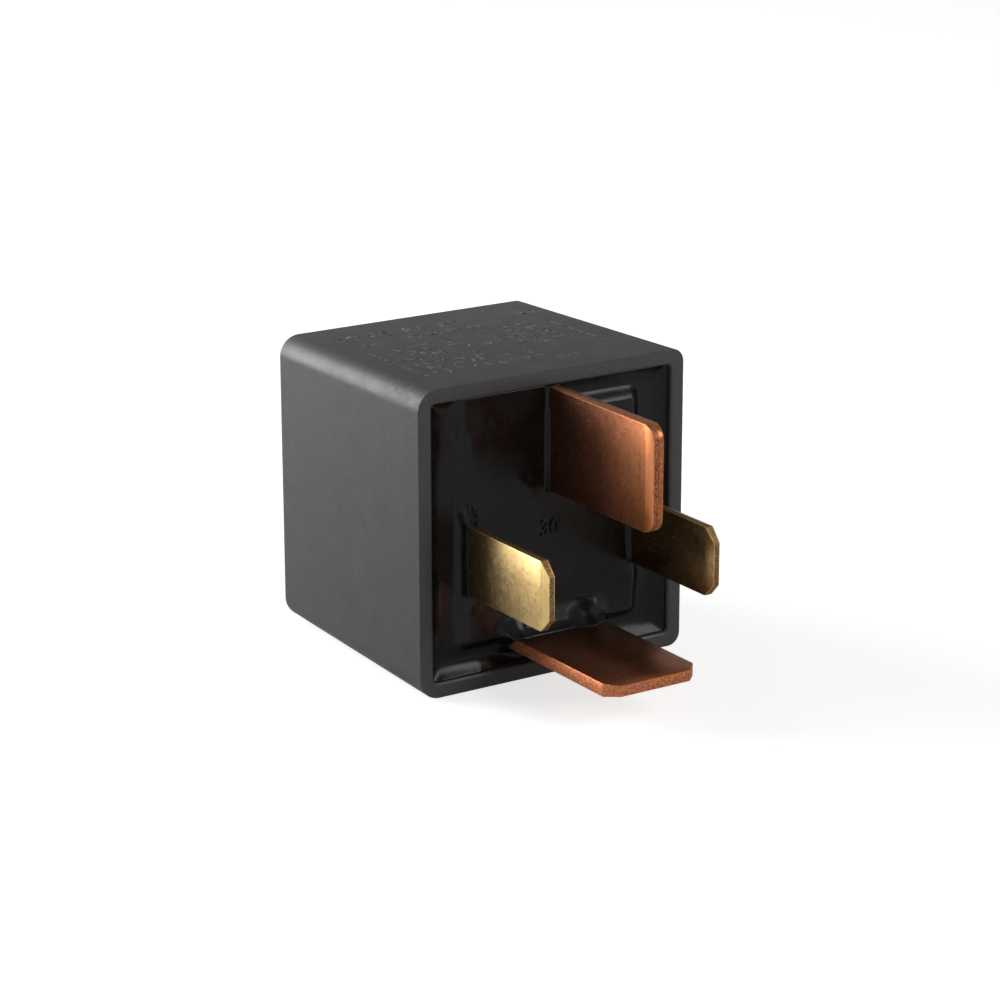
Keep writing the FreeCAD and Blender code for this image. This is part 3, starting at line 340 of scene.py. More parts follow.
def hairlines(tree, place, scale, half, **kind):
    """Share that is 1 on thin lines along a noise's middle value."""
    return ramp(tree, noise(tree, place, scale, **kind), (0.5 - half, 0.0), (0.5, 1.0), (0.5 + half, 0.0))


def cloudy(tree, place, scale, low=0.0, high=1.0, detail=4.0):
    """Value that wanders between two levels."""
    return ramp(tree, noise(tree, place, scale, detail), (0.3, low), (0.7, high))


def blend(tree, share, one, other, kind="MIX"):
    """Mix of two colours, each a socket or a constant; share is a socket or a number."""
    made = tree.nodes.new("ShaderNodeMix")
    made.data_type = "RGBA"
    made.blend_type = kind
    for index, value in ((0, share), (6, one), (7, other)):
        give(tree, made.inputs[index], value)
    return made.outputs[2]


def maths(tree, kind, one, other=0.0):
    made = tree.nodes.new("ShaderNodeMath")
    made.operation = kind
    for socket, value in zip(made.inputs, (one, other)):
        give(tree, socket, value)
    return made.outputs[0]


def part_of(tree, share, amount):
    return maths(tree, "MULTIPLY", share, amount)


def relief(tree, height, distance, under=None):
    """Bump of a height whose full range is a distance in metres."""
    made = tree.nodes.new("ShaderNodeBump")
    made.inputs["Distance"].default_value = distance
    tree.links.new(height, made.inputs["Height"])
    if under:
        tree.links.new(under, made.inputs["Normal"])
    return made.outputs["Normal"]


def attribute(tree, name):
    made = tree.nodes.new("ShaderNodeAttribute")
    made.attribute_name = name
    return made.outputs["Fac"]


# Finishes


def chafed_sheen_share(tree, place):
    """Grainy wear along the upper left edge, where height less x is greatest; partly real wear, partly a
    painted highlight.
    """
    parts = split(tree, place)
    across = maths(tree, "DIVIDE", maths(tree, "SUBTRACT", parts["Z"], parts["X"]), MM)
    begins, full = CHAFED_SHEEN
    across = maths(tree, "DIVIDE", maths(tree, "SUBTRACT", across, begins), full - begins)
    grains = patches(tree, place, 1500.0, 0.46, 0.62, detail=5.0, roughness=0.7, distortion=0.6)
    return maths(tree, "MULTIPLY", grains, ramp(tree, across, (0.0, 0.0), (1.0, 1.0)))


def case_finish():
    """Black moulded plastic with fine grain, a slow change of tone, a few rub marks and grainy wear on the
    upper left edge painted lighter as a highlight.
    """
    finish, tree, shader = new_finish("case_plastic")
    place = object_place(tree)
    case = colours().case
    colour = blend(tree, cloudy(tree, place, 130.0), colour4(case, 0.93), colour4(case, 1.05))
    speck = patches(tree, place, 5200.0, 0.42, 0.62, detail=2.0)
    colour = blend(tree, speck, colour, colour4(case, 1.22))
    scraped = patches(tree, place, 260.0, 0.52, 0.66)
    flake = patches(tree, place, 2300.0, 0.66, 0.7, roughness=0.6, distortion=1.5)
    colour = blend(tree, maths(tree, "MULTIPLY", scraped, flake), colour, colour4(case, 2.6))
    # Lighter grain on the upper left edge: wear, and a painted highlight where the key light catches the
    # fillet
    chafed_sheen = chafed_sheen_share(tree, place)
    colour = blend(tree, part_of(tree, chafed_sheen, 0.7), colour, colour4(case, 2.3))
    polish = ramp(tree, noise(tree, place, 420.0, detail=5.0), (0.35, 0.37), (0.7, 0.48))
    polish = maths(tree, "ADD", polish, part_of(tree, chafed_sheen, 0.2))
    grain = relief(tree, noise(tree, place, 6400.0, roughness=0.6), sizes().grain)
    rub = hairlines(tree, place, 210.0, 0.005, detail=6.0, roughness=0.5, distortion=2.2)
    set_inputs(tree, shader, {
        "Base Color": colour, "Roughness": polish, "Specular IOR Level": 0.5,
        "Normal": relief(tree, rub, 0.003 * MM, grain)})
    return finish


def base_finish():
    """Black moulded base plastic under a thin, wavy smear of compound."""
    finish, tree, shader = new_finish("base_plastic")
    place = object_place(tree)
    base = colours().base
    colour = blend(tree, cloudy(tree, place, 300.0), colour4(base, 0.7), colour4(base, 1.3))
    wave = relief(tree, noise(tree, place, 340.0, detail=2.0, roughness=0.5), 0.02 * MM)
    set_inputs(tree, shader, {
        "Base Color": colour, "Roughness": cloudy(tree, place, 700.0, 0.22, 0.32),
        "Specular IOR Level": 0.32,
        "Normal": relief(tree, noise(tree, place, 2600.0), 0.002 * MM, wave)})
    return finish


def potting_finish():
    """Black poured compound: glossy, slightly wavy, with dull smears and dust."""
    finish, tree, shader = new_finish("potting_compound")
    place = object_place(tree)
    potting = colours().potting
    smear = patches(tree, place, 190.0, 0.45, 0.7, detail=5.0, roughness=0.6, distortion=1.2)
    colour = blend(tree, smear, colour4(potting), colour4(potting, 2.2))
    dust = patches(tree, place, 3900.0, 0.76, 0.79, detail=1.0)
    colour = blend(tree, part_of(tree, dust, 0.5), colour, colour4(DUST))
    wave = relief(tree, noise(tree, place, 420.0, detail=1.0, roughness=0.4), 0.02 * MM)
    fine = noise(tree, place, 2400.0, detail=2.0)
    set_inputs(tree, shader, {
        "Base Color": colour, "Roughness": ramp(tree, smear, (0.0, 0.25), (1.0, 0.38)),
        "Specular IOR Level": 0.34, "Normal": relief(tree, fine, 0.001 * MM, wave)})
    return finish


def nose_share(tree, place, tip, middle, half, corner):
    """1 on the bevelled nose of a blade and 0 behind it; the band follows the rounded corners."""
    parts = split(tree, place)
    along = maths(tree, "MAXIMUM", maths(tree, "SUBTRACT", tip + corner, parts["Y"]), 0.0)
    aside = maths(tree, "ABSOLUTE", maths(tree, "SUBTRACT", parts["Z"], middle))
    aside = maths(tree, "SUBTRACT", aside, half - corner)
    aside = part_of(tree, maths(tree, "MAXIMUM", aside, 0.0), 0.85)
    out = maths(tree, "ADD", maths(tree, "POWER", along, 2.0), maths(tree, "POWER", aside, 2.0))
    out = maths(tree, "SQRT", out)
    inset = maths(tree, "DIVIDE", maths(tree, "SUBTRACT", corner, out), corner)
    band = ramp(tree, inset, (0.74, 1.0), (0.82, 0.0))
    ahead = ramp(tree, maths(tree, "DIVIDE", along, corner), (0.0, 0.0), (0.25, 1.0))
    return maths(tree, "MULTIPLY", band, ahead)


def tarnish_and_root_shade(tree, place, clean, dull, patch_tone, patch, seed):
    """Colour that deepens towards the blade's root as painted shade, with warm patches and dull flecks."""
    # Painted shade: darker towards the root, where the cover's recess shades the blade
    root = part_of(tree, attribute(tree, "root"), 0.7)
    share = maths(tree, "ADD", root, part_of(tree, patch, 0.9))
    colour = blend(tree, ramp(tree, share, (0.35, 0.0), (1.0, 1.0)), colour4(clean), colour4(dull))
    warm = patches(tree, place, 310.0 + seed, 0.46, 0.66, detail=5.0, roughness=0.6, distortion=1.0)
    tinted = blend(tree, 1.0, colour, colour4(patch_tone), "MULTIPLY")
    colour = blend(tree, part_of(tree, warm, 0.6), colour, tinted)
    fleck = patches(tree, place, 1900.0, 0.52, 0.66, detail=4.0, roughness=0.65)
    return blend(tree, part_of(tree, fleck, 0.45), colour, colour4(dull, 0.6))


def rolled_finish(name, clean, dull, patch_tone, seed, rough, nose=None):
    """Rolled metal face: tarnish, painted shade towards the root, scuffs, small pits and a fine grain along
    the blade.
    """
    finish, tree, shader = new_finish(name)
    place = object_place(tree)
    patch = noise(tree, place, 230.0 + seed, detail=6.0, roughness=0.62, distortion=0.8)
    colour = tarnish_and_root_shade(tree, place, clean, dull, patch_tone, patch, seed)
    line = hairlines(tree, place, 420.0 + seed, 0.007, detail=8.0, roughness=0.6, distortion=2.0)
    scuff = maths(tree, "MULTIPLY", line, patches(tree, place, 900.0, 0.5, 0.58, detail=2.0))
    colour = blend(tree, part_of(tree, scuff, 0.85), colour, colour4(clean, 1.6))
    speck = patches(tree, place, 2700.0, 0.74, 0.77, detail=1.0)
    colour = blend(tree, part_of(tree, speck, 0.8), colour, colour4(clean, 1.7))
    polish = maths(tree, "ADD", part_of(tree, patch, 0.2), rough - 0.1)
    if nose:
        # The nose is painted lighter: partly rubbed metal, partly a painted highlight
        band = nose_share(tree, place, *nose)
        nose_sheen_gain = min(1.35, 1.0 / max(clean))
        colour = blend(tree, part_of(tree, band, 0.7), colour, colour4(clean, nose_sheen_gain))
        polish = maths(tree, "SUBTRACT", polish, part_of(tree, band, 0.05))
    grain_place = object_place(tree, (1.0, 0.12, 1.0))
    grain = relief(tree, noise(tree, grain_place, 5200.0), 0.002 * MM)
    pit = ramp(tree, noise(tree, place, 1500.0, detail=2.0), (0.26, 1.0), (0.34, 0.0))
    dent = relief(tree, maths(tree, "ADD", pit, part_of(tree, scuff, 0.5)), 0.006 * MM, grain)
    dent.node.invert = True
    swell = relief(tree, noise(tree, place, 330.0 + seed, detail=2.0), 0.012 * MM, dent)
    set_inputs(tree, shader, {
        "Base Color": colour, "Metallic": 1.0, "Roughness": polish, "Normal": swell})
    return finish


def rubbed_sheen_finish(name, clean):
    """Edge rounded by the punch and rubbed bright, painted brighter still as a highlight line, with duller
    nicks.
    """
    finish, tree, shader = new_finish(name)
    place = object_place(tree)
    nick = patches(tree, place, 2300.0, 0.4, 0.62, detail=4.0, roughness=0.65)
    set_inputs(tree, shader, {
        "Base Color": blend(tree, nick, colour4(clean, 1.5), colour4(clean, 0.8)), "Metallic": 1.0,
        "Roughness": ramp(tree, nick, (0.0, 0.34), (1.0, 0.5)),
        "Normal": relief(tree, nick, 0.006 * MM)})
    return finish


def sheared_finish(name, clean, dull, torn_low, torn_high, pits, crumbs):
    """Punched edge: a burnished band and, between two levels through the thickness, torn metal."""
    finish, tree, shader = new_finish(name)
    place = object_place(tree)
    waver = maths(tree, "SUBTRACT", noise(tree, place, 1500.0, detail=4.0), 0.5)
    level = maths(tree, "ADD", attribute(tree, "layer"), part_of(tree, waver, 0.3))
    blur = 0.04
    torn = ramp(tree, level, (torn_low - blur, 0.0), (torn_low + blur, 1.0),
                (torn_high - blur, 1.0), (torn_high + blur, 0.0))
    crumb = noise(tree, place, 8500.0, roughness=0.7)
    pitted = ramp(tree, crumb, (0.4, 0.0), (0.6, 1.0))
    torn_colour = blend(tree, pitted, colour4(dull, pits), colour4(clean, crumbs))
    streak = patches(tree, place, 2600.0, 0.35, 0.7, detail=4.0, roughness=0.6)
    smooth_colour = blend(tree, streak, colour4(clean, 1.15), colour4(clean, 0.6))
    set_inputs(tree, shader, {
        "Base Color": blend(tree, torn, smooth_colour, torn_colour), "Metallic": 1.0,
        "Roughness": ramp(tree, torn, (0.0, 0.32), (1.0, 0.55)),
        "Normal": relief(tree, maths(tree, "MULTIPLY", torn, crumb), 0.02 * MM)})
    return finish


def plain_metal_finish(name, colour, roughness):
    """Plated or drawn metal with cloudy tone and a fine grain."""
    finish, tree, shader = new_finish(name)
    place = object_place(tree)
    cloud = cloudy(tree, place, 240.0, detail=5.0)
    clouded = blend(tree, cloud, colour4(colour, 0.82), colour4(colour, 1.08))
    polish = cloudy(tree, place, 600.0, roughness - 0.06, roughness + 0.08)
    set_inputs(tree, shader, {
        "Base Color": clouded, "Metallic": 1.0, "Roughness": polish,
        "Normal": relief(tree, noise(tree, place, 900.0, detail=4.0), 0.004 * MM)})
    return finish


def moulding_finish(name, colour, roughness):
    """Moulded plastic with a faint cloud and grain."""
    finish, tree, shader = new_finish(name)
    place = object_place(tree)
    clouded = blend(tree, cloudy(tree, place, 300.0), colour4(colour, 0.9), colour4(colour, 1.08))
    polish = cloudy(tree, place, 800.0, roughness - 0.05, roughness + 0.07, detail=3.0)
    set_inputs(tree, shader, {
        "Base Color": clouded, "Roughness": polish,
        "Normal": relief(tree, noise(tree, place, 3000.0), 0.006 * MM)})
    return finish


def wire_finish():
    """Enamelled copper wire, laid in turns along the spool."""
    finish, tree, shader = new_finish("enamelled_wire")
    place = object_place(tree)
    enamel = colours().enamel
    colour = blend(tree, cloudy(tree, place, 500.0), colour4(enamel, 0.8), colour4(enamel, 1.15))
    turns = tree.nodes.new("ShaderNodeTexWave")
    turns.wave_type = "BANDS"
    turns.bands_direction = "Y"
    set_inputs(tree, turns, {
        "Vector": place, "Scale": WAVE_UNIT / sizes().wire, "Distortion": 0.6, "Detail Scale": 0.4})
    laid = relief(tree, turns.outputs["Fac"], sizes().wire / 2)
    fine = noise(tree, place, 2600.0, detail=2.0)
    set_inputs(tree, shader, {
        "Base Color": colour, "Metallic": 0.6, "Roughness": 0.28, "Coat Weight": 0.5,
        "Normal": relief(tree, fine, 0.002 * MM, laid)})
    return finish


def resistor_finish():
    """Blue lacquer with four painted rings along the body."""
    finish, tree, shader = new_finish("resistor_ceramic")
    place = object_place(tree)
    low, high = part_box("resistor")
    span = high - low
    axis = max(range(3), key=lambda index: span[index])
    along = maths(tree, "SUBTRACT", split(tree, place)[axis], low[axis])
    along = maths(tree, "DIVIDE", along, span[axis])
    colour = blend(tree, cloudy(tree, place, 900.0), colour4(LACQUER_DARK), colour4(LACQUER_LIGHT))
    for start, ring in RINGS:
        end = start + RING_WIDTH
        band = ramp(tree, along, (start - RING_BLUR, 0.0), (start, 1.0), (end, 1.0), (end + RING_BLUR, 0.0))
        colour = blend(tree, band, colour, colour4(ring))
    set_inputs(tree, shader, {
        "Base Color": colour, "Roughness": 0.3, "Coat Weight": 0.4,
        "Normal": relief(tree, noise(tree, place, 1500.0), 0.01 * MM)})
    return finish


def etching_finish():
    """Matt brownish-grey trace of a laser on the case plastic."""
    finish, tree, shader = new_finish("etched_plastic")
    place = object_place(tree)
    worn = patches(tree, place, 2100.0, 0.42, 0.66, detail=4.0, roughness=0.65)
    set_inputs(tree, shader, {
        "Base Color": blend(tree, worn, colour4(colours().case), colour4(colours().etching)),
        "Roughness": 0.8, "Specular IOR Level": 0.15,
        "Normal": relief(tree, noise(tree, place, 5200.0), 0.01 * MM)})
    return finish


# Modelling


def clear_selection():
    if bpy.context.object and bpy.context.object.mode != "OBJECT":
        bpy.ops.object.mode_set(mode="OBJECT")
    bpy.ops.object.select_all(action="DESELECT")


def make_active(piece):
    clear_selection()
    piece.select_set(True)
    bpy.context.view_layer.objects.active = piece


def pick(piece, test):
    """In edit mode, selects the vertices whose place passes the test."""
    bpy.ops.mesh.select_mode(type="VERT")
    bpy.ops.mesh.select_all(action="DESELECT")
    mesh = bmesh.from_edit_mesh(piece.data)
    for vertex in mesh.verts:
        vertex.select = bool(test(vertex.co))
    mesh.select_flush_mode()
    bmesh.update_edit_mesh(piece.data)


def pull(piece, test, rise, reach, falloff):
    """Raises the vertices that pass the test out of the recess, with those round them; sizes in mm."""
    pick(piece, test)
    bpy.ops.transform.translate(
        value=(0.0, -rise * MM, 0.0), use_proportional_edit=True, proportional_edit_falloff=falloff,
        proportional_size=reach * MM, use_proportional_connected=False)


def outline(node, shallow, deep):
    """Left, right, bottom and top in mm of a node between two depths, in mm from the rim."""
    places = [vertex.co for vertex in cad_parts[node].data.vertices
              if shallow * MM < vertex.co.y - RIM < deep * MM]
    aside = [place.x / MM for place in places]
    height = [place.z / MM for place in places]
    return (min(aside), max(aside), min(height), max(height))


def plateau_outline():
    """Outline of the base's plateau, which is its foremost face."""
    level = (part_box("base")[0].y - RIM) / MM
    return outline("base", level - 0.02, level + 0.02)


def inside(place, bounds, margin):
    """Whether a place lies in a rectangle of x and z in mm, widened by a margin."""
    left, right, bottom, top = bounds
    in_width = left - margin < place.x / MM < right + margin
    return in_width and bottom - margin < place.z / MM < top + margin


def near(place, spot, reach):
    return math.hypot(place.x / MM - spot[0], place.z / MM - spot[1]) < max(reach, SMALLEST_SPOT)


def box_strokes(left, near_end, right, far_end):
    """The four sides of a box of the sketch."""
    return [(left, near_end, right, near_end), (left, far_end, right, far_end),
            (left, near_end, left, far_end), (right, near_end, right, far_end)]


def sketch_strokes():
    """All strokes of the circuit sketch; the coil's box has a slanting line across."""
    return (list(SIDE_LINES + WIRES + SWITCH) + box_strokes(*COIL_BOX) + [COIL_BOX]
            + box_strokes(*RESISTOR_BOX))


def add_stroke(left, near_end, right, far_end):
    """Flat bar between two points of the upper side, in mm from its middle and from the rim."""
    clear_selection()
    length = math.hypot(right - left, far_end - near_end) + MARK_WIDTH
    bpy.ops.mesh.primitive_plane_add(
        size=1.0, location=((left + right) / 2 * MM, (near_end + far_end) / 2 * MM, 0.0),
        rotation=(0.0, 0.0, math.atan2(far_end - near_end, right - left)))
    stroke = bpy.context.object
    stroke.scale = (length * MM, MARK_WIDTH * MM, 1.0)
    bpy.ops.object.transform_apply(location=True, rotation=True, scale=True)
    return stroke


def add_figures(left, near_end, words, height):
    """Flat mesh of plain figures whose left foot is at a place of the upper side in mm."""
    clear_selection()
    bpy.ops.object.text_add(location=(left * MM, near_end * MM, 0.0))
    figures = bpy.context.object
    figures.data.body = words
    figures.data.size = height * FIGURE_BODY * MM
    figures.data.space_character = FIGURE_SPACING
    figures.data.offset = FIGURE_WEIGHT * MM
    figures.data.resolution_u = 3
    bpy.ops.object.convert(target="MESH")
    bpy.ops.object.transform_apply(location=True, rotation=True, scale=True)
    return bpy.context.object


def finish_modifiers(piece):
    make_active(piece)
    for modifier in list(piece.modifiers):
        bpy.ops.object.modifier_apply(modifier=modifier.name)


def settle(piece, name, body, node=None):
    """Applies the piece's place, names it and lets it ride on its body."""
    make_active(piece)
    bpy.ops.object.transform_apply(location=True, rotation=True, scale=True)
    piece.name = name
    piece.data.name = name
    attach(piece, body)
    if node:
        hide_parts(node)


def rounded_copy(node, width, segments=2):
    """Merged copy of a CAD node's mesh whose sharp edges are rounded."""
    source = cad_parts[node]
    piece = bpy.data.objects.new(node + "_dressed", source.data.copy())
    bpy.context.scene.collection.objects.link(piece)
    make_active(piece)
    bpy.ops.object.mode_set(mode="EDIT")
    bpy.ops.mesh.select_all(action="SELECT")
    bpy.ops.mesh.remove_doubles(threshold=0.0005 * MM)
    bpy.ops.mesh.dissolve_limited(angle_limit=math.radians(0.2))
    bpy.ops.object.mode_set(mode="OBJECT")
    if piece.data.has_custom_normals:
        bpy.ops.mesh.customdata_custom_splitnormals_clear()
    bevel = piece.modifiers.new("edges", "BEVEL")
    bevel.width = width
    bevel.segments = segments
    bevel.limit_method = "ANGLE"
    bevel.angle_limit = math.radians(ROUNDED_ABOVE)
    bevel.use_clamp_overlap = True
    finish_modifiers(piece)
    bpy.ops.object.shade_smooth_by_angle(angle=math.radians(SHARP_ABOVE))
    piece.data.materials.clear()
    return piece


def add_shares(piece, axis, low, high):
    """Stores for each vertex how far it is through the thickness and towards the root."""
    mesh = piece.data
    layer = mesh.attributes.new("layer", "FLOAT", "POINT")
    root = mesh.attributes.new("root", "FLOAT", "POINT")
    tip = min(vertex.co.y for vertex in mesh.vertices)
    reach = RIM - tip
    for index, vertex in enumerate(mesh.vertices):
        layer.data[index].value = (vertex.co[axis] - low) / (high - low)
        root.data[index].value = min(1.0, (vertex.co.y - tip) / reach)


def dress_blade(node, across, thickness, finishes):
    """Terminal with rounded punched edges: rolled faces, sheared edges and rounded corners rubbed bright
    with a painted highlight.
    """
    piece = rounded_copy(node, sizes().blade_edge)
    low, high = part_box(node)
    axis = AXES[across]
    add_shares(piece, axis, low[axis], low[axis] + thickness * MM)
    for finish in finishes:
        piece.data.materials.append(finish)
    for polygon in piece.data.polygons:
        facing = abs(polygon.normal[axis])
        if facing > 0.95 or polygon.center.y > RIM:
            polygon.material_index = 0
        else:
            # Rounded edges get the rubbed finish, which is partly a painted highlight line
            polygon.material_index = 1 if facing < 0.2 else 2
    settle(piece, node + "_blade", "housing", node)


def nose_of(node, corner):
    """A blade's tip, the middle of its width, half the width and the radius of its nose, in metres."""
    low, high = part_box(node)
    return (low.y, (low.z + high.z) / 2, (high.z - low.z) / 2, corner * MM)


class RELAY_OT_cover(bpy.types.Operator):
    """Models the moulded cover's finish"""

    bl_idname = "relay.cover"
    bl_label = "Cover"

    def execute(self, context):
        piece = rounded_copy("cover", sizes().cover_edge, segments=3)
        piece.data.materials.append(case_finish())
        settle(piece, "cover_shell", "housing", "cover")
        return {"FINISHED"}


class RELAY_OT_marking(bpy.types.Operator):
    """Burns a plain circuit sketch with terminal numbers into the cover's upper side"""

    bl_idname = "relay.marking"
    bl_label = "Marking"

    def execute(self, context):
        pieces = [add_stroke(*stroke) for stroke in sketch_strokes()]
        pieces += [add_figures(*row) for row in FIGURES]
        make_active(pieces[0])
        for piece in pieces:
            piece.select_set(True)
        bpy.ops.object.join()
        piece = bpy.context.object
        bpy.ops.object.transform_apply(location=True, rotation=True, scale=True)
        bpy.ops.object.mode_set(mode="EDIT")
        bpy.ops.mesh.select_all(action="SELECT")
        bpy.ops.mesh.extrude_region_move(TRANSFORM_OT_translate={"value": (0.0, 0.0, MARK_DEPTH * MM)})
        bpy.ops.mesh.select_all(action="SELECT")
        bpy.ops.mesh.normals_make_consistent(inside=False)
        bpy.ops.object.mode_set(mode="OBJECT")
        piece.rotation_euler = (math.radians(-DRAFT), 0.0, 0.0)
        piece.location = (0.0, RIM, COVER_HIGH.z - MARK_SUNK * MM)
        piece.data.materials.append(etching_finish())
        settle(piece, "burnt_marking", "housing")
        return {"FINISHED"}


class RELAY_OT_base(bpy.types.Operator):
    """Models the moulded base and the poured sealing compound"""

    bl_idname = "relay.base"
    bl_label = "Base and compound"

    def execute(self, context):
        finish = base_finish()
        self.moulding(finish)
        self.raised_number(finish)
        self.pour()
        return {"FINISHED"}

    def moulding(self, finish):
        """The base, with its plateau's top a little lower, under the film that is seen there."""
        piece = rounded_copy("base", sizes().base_edge)
        plateau = plateau_outline()
        top = RIM + sizes().plateau_level
        make_active(piece)
        bpy.ops.object.mode_set(mode="EDIT")
        pick(piece, lambda place: abs(place.y - top) < 0.1 * MM and inside(place, plateau, 0.2))
        bpy.ops.transform.translate(value=(0.0, PLATEAU_SINK * MM, 0.0))
        bpy.ops.object.mode_set(mode="OBJECT")
        piece.data.materials.append(finish)
        settle(piece, "base_moulding", "housing", "base")

    def raised_number(self, finish):
        """Terminal number moulded beside the upper blade's root."""
        clear_selection()
        aside, height = NUMBER_PLACE
        surface = RIM + sizes().plateau_level - sizes().film
        bpy.ops.object.text_add(
            location=(aside * MM, surface, height * MM), rotation=(math.radians(90.0), 0.0, 0.0))
        number = bpy.context.object
        number.data.body = "30"
        number.data.size = NUMBER_HEIGHT * MM
        number.data.extrude = NUMBER_DEPTH * MM
        number.data.bevel_depth = NUMBER_ROUNDING * MM
        number.data.bevel_resolution = 2
        number.data.resolution_u = 4
        bpy.ops.object.convert(target="MESH")
        number = bpy.context.object
        bpy.ops.object.mode_set(mode="EDIT")
        bpy.ops.mesh.select_all(action="SELECT")
        bpy.ops.mesh.remove_doubles(threshold=0.001 * MM)
        bpy.ops.mesh.normals_make_consistent(inside=False)
        bpy.ops.object.mode_set(mode="OBJECT")
        bpy.ops.object.shade_smooth_by_angle(angle=math.radians(SHARP_ABOVE))
        number.data.materials.append(finish)
        settle(number, "terminal_number", "housing")

    def pour(self):
        """Compound in the moat round the plateau, with the film that ran over it."""
        piece, at_wall = self.lay_grid()
        bpy.ops.object.mode_set(mode="EDIT")
        self.wet(piece, at_wall)
        self.close(RIM + sizes().potting_level + POUR_FLOOR * MM)
        bpy.ops.object.mode_set(mode="OBJECT")
        self.ripple(piece)
        bpy.ops.object.shade_smooth()
        piece.data.materials.append(potting_finish())
        settle(piece, "potting_pour", "housing", "potting")

    def lay_grid(self):
        """Level grid over the cavity, and the test that finds its places at the wall."""
        low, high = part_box("potting")
        cells = sizes().potting_grid
        clear_selection()
        bpy.ops.mesh.primitive_grid_add(
            x_subdivisions=cells, y_subdivisions=cells, size=1.0,
            location=(0.0, RIM + sizes().potting_level, MIDDLE), rotation=(math.radians(90.0), 0.0, 0.0))
        piece = bpy.context.object
        piece.scale = (high.x - low.x, high.z - low.z, 1.0)
        bpy.ops.object.transform_apply(location=True, rotation=True, scale=True)
        wall_x = (high.x - low.x) / 2 - WALL_MARGIN * MM
        wall_z = (high.z - low.z) / 2 - WALL_MARGIN * MM
        return piece, lambda place: abs(place.x) > wall_x or abs(place.z - MIDDLE) > wall_z

    def wet(self, piece, at_wall):
        """Draws the liquid up at the wall, over the plateau, in heaps and at the blades."""
        film = (sizes().potting_level + sizes().film - sizes().plateau_level) / MM
        plateau = plateau_outline()
        pull(piece, at_wall, WALL_CLIMB, WALL_REACH, "SHARP")
        self.smooth_out(piece, at_wall, SETTLING_BEFORE)
        pull(piece, lambda place: inside(place, plateau, -FILM_INSET), film, FILM_REACH, "SMOOTH")
        for bounds, rise, reach in MOUNDS:
            pull(piece, lambda place: inside(place, bounds, 0.0), rise, reach, "SMOOTH")
        for spot, reach, rise in HEAPS:
            pull(piece, lambda place: near(place, spot, reach * 0.2), rise, reach, "SMOOTH")
        self.smooth_out(piece, at_wall, SETTLING_AFTER)
        self.flood(piece, RIM + sizes().plateau_level - sizes().film)
        for node, (rise, reach) in COLLARS.items():
            blade = outline(node, -math.inf, 0.0)
            pull(piece, lambda place: inside(place, blade, COLLAR_MARGIN), rise, reach, "SHARP")

    def smooth_out(self, piece, at_wall, times):
        """Lets the liquid level out, except where it holds to the wall."""
        pick(piece, lambda place: not at_wall(place))
        bpy.ops.mesh.vertices_smooth(factor=0.5, repeat=times, xaxis=False, yaxis=True, zaxis=False)

    def flood(self, piece, height):
        """Fills the moat to the film's height where the compound ran up to the upper wall."""
        pick(piece, lambda place: inside(place, FLOODED, 0.0))
        bpy.ops.transform.resize(
            value=(1.0, 0.0, 1.0), center_override=(0.0, height, MIDDLE), use_proportional_edit=True,
            proportional_edit_falloff="SMOOTH", proportional_size=FILM_REACH * MM,
            use_proportional_connected=False)

    def close(self, floor):
        """Gives the surface sides and a flat underside."""
        bpy.ops.mesh.select_all(action="SELECT")
        bpy.ops.mesh.extrude_region_move(TRANSFORM_OT_translate={"value": (0.0, POUR_DEPTH * MM, 0.0)})
        bpy.ops.transform.resize(value=(1.0, 0.0, 1.0), center_override=(0.0, floor, MIDDLE))
        bpy.ops.mesh.select_all(action="SELECT")
        bpy.ops.mesh.normals_make_consistent(inside=False)

    def ripple(self, piece):
        """Slow unevenness of the set surface."""
        texture = bpy.data.textures.new("ripples", "CLOUDS")
        texture.noise_scale = RIPPLE_SIZE * MM
        texture.noise_depth = 2
        ripple = piece.modifiers.new("ripple", "DISPLACE")
        ripple.texture = texture
        ripple.texture_coords = "LOCAL"
        ripple.direction = "Y"
        ripple.strength = RIPPLE_HEIGHT * MM
        finish_modifiers(piece)


class RELAY_OT_load_blades(bpy.types.Operator):
    """Models the two copper load terminals"""

    bl_idname = "relay.load_blades"
    bl_label = "Load terminals"

    def execute(self, context):
        clean, dull = colours().copper, colours().copper_dull
        corner = rubbed_sheen_finish("rubbed_sheen_copper", clean)
        upper = (
            rolled_finish("rolled_copper_upper", clean, dull, (0.96, 1.12, 0.9), 0.0, 0.42,
                          nose_of("terminal_30", LOAD_NOSE)),
            sheared_finish("sheared_copper_upper", clean, dull, 0.1, 0.55, 0.55, 1.15),
            corner)
        # Terminal 87's faces take a darker copy of the copper: painted shade
        lower = (
            rolled_finish("rolled_copper_lower", colour_mix(clean, dull, 0.4),
                          colour_mix(dull, clean, 0.3), (0.9, 0.78, 0.85), 53.0, 0.34),
            sheared_finish("sheared_copper_lower", clean, dull, 0.02, 0.95, 1.5, 1.7),
            corner)
        dress_blade("terminal_30", "x", LOAD_THICKNESS, upper)
        dress_blade("terminal_87", "z", LOAD_THICKNESS, lower)
        return {"FINISHED"}


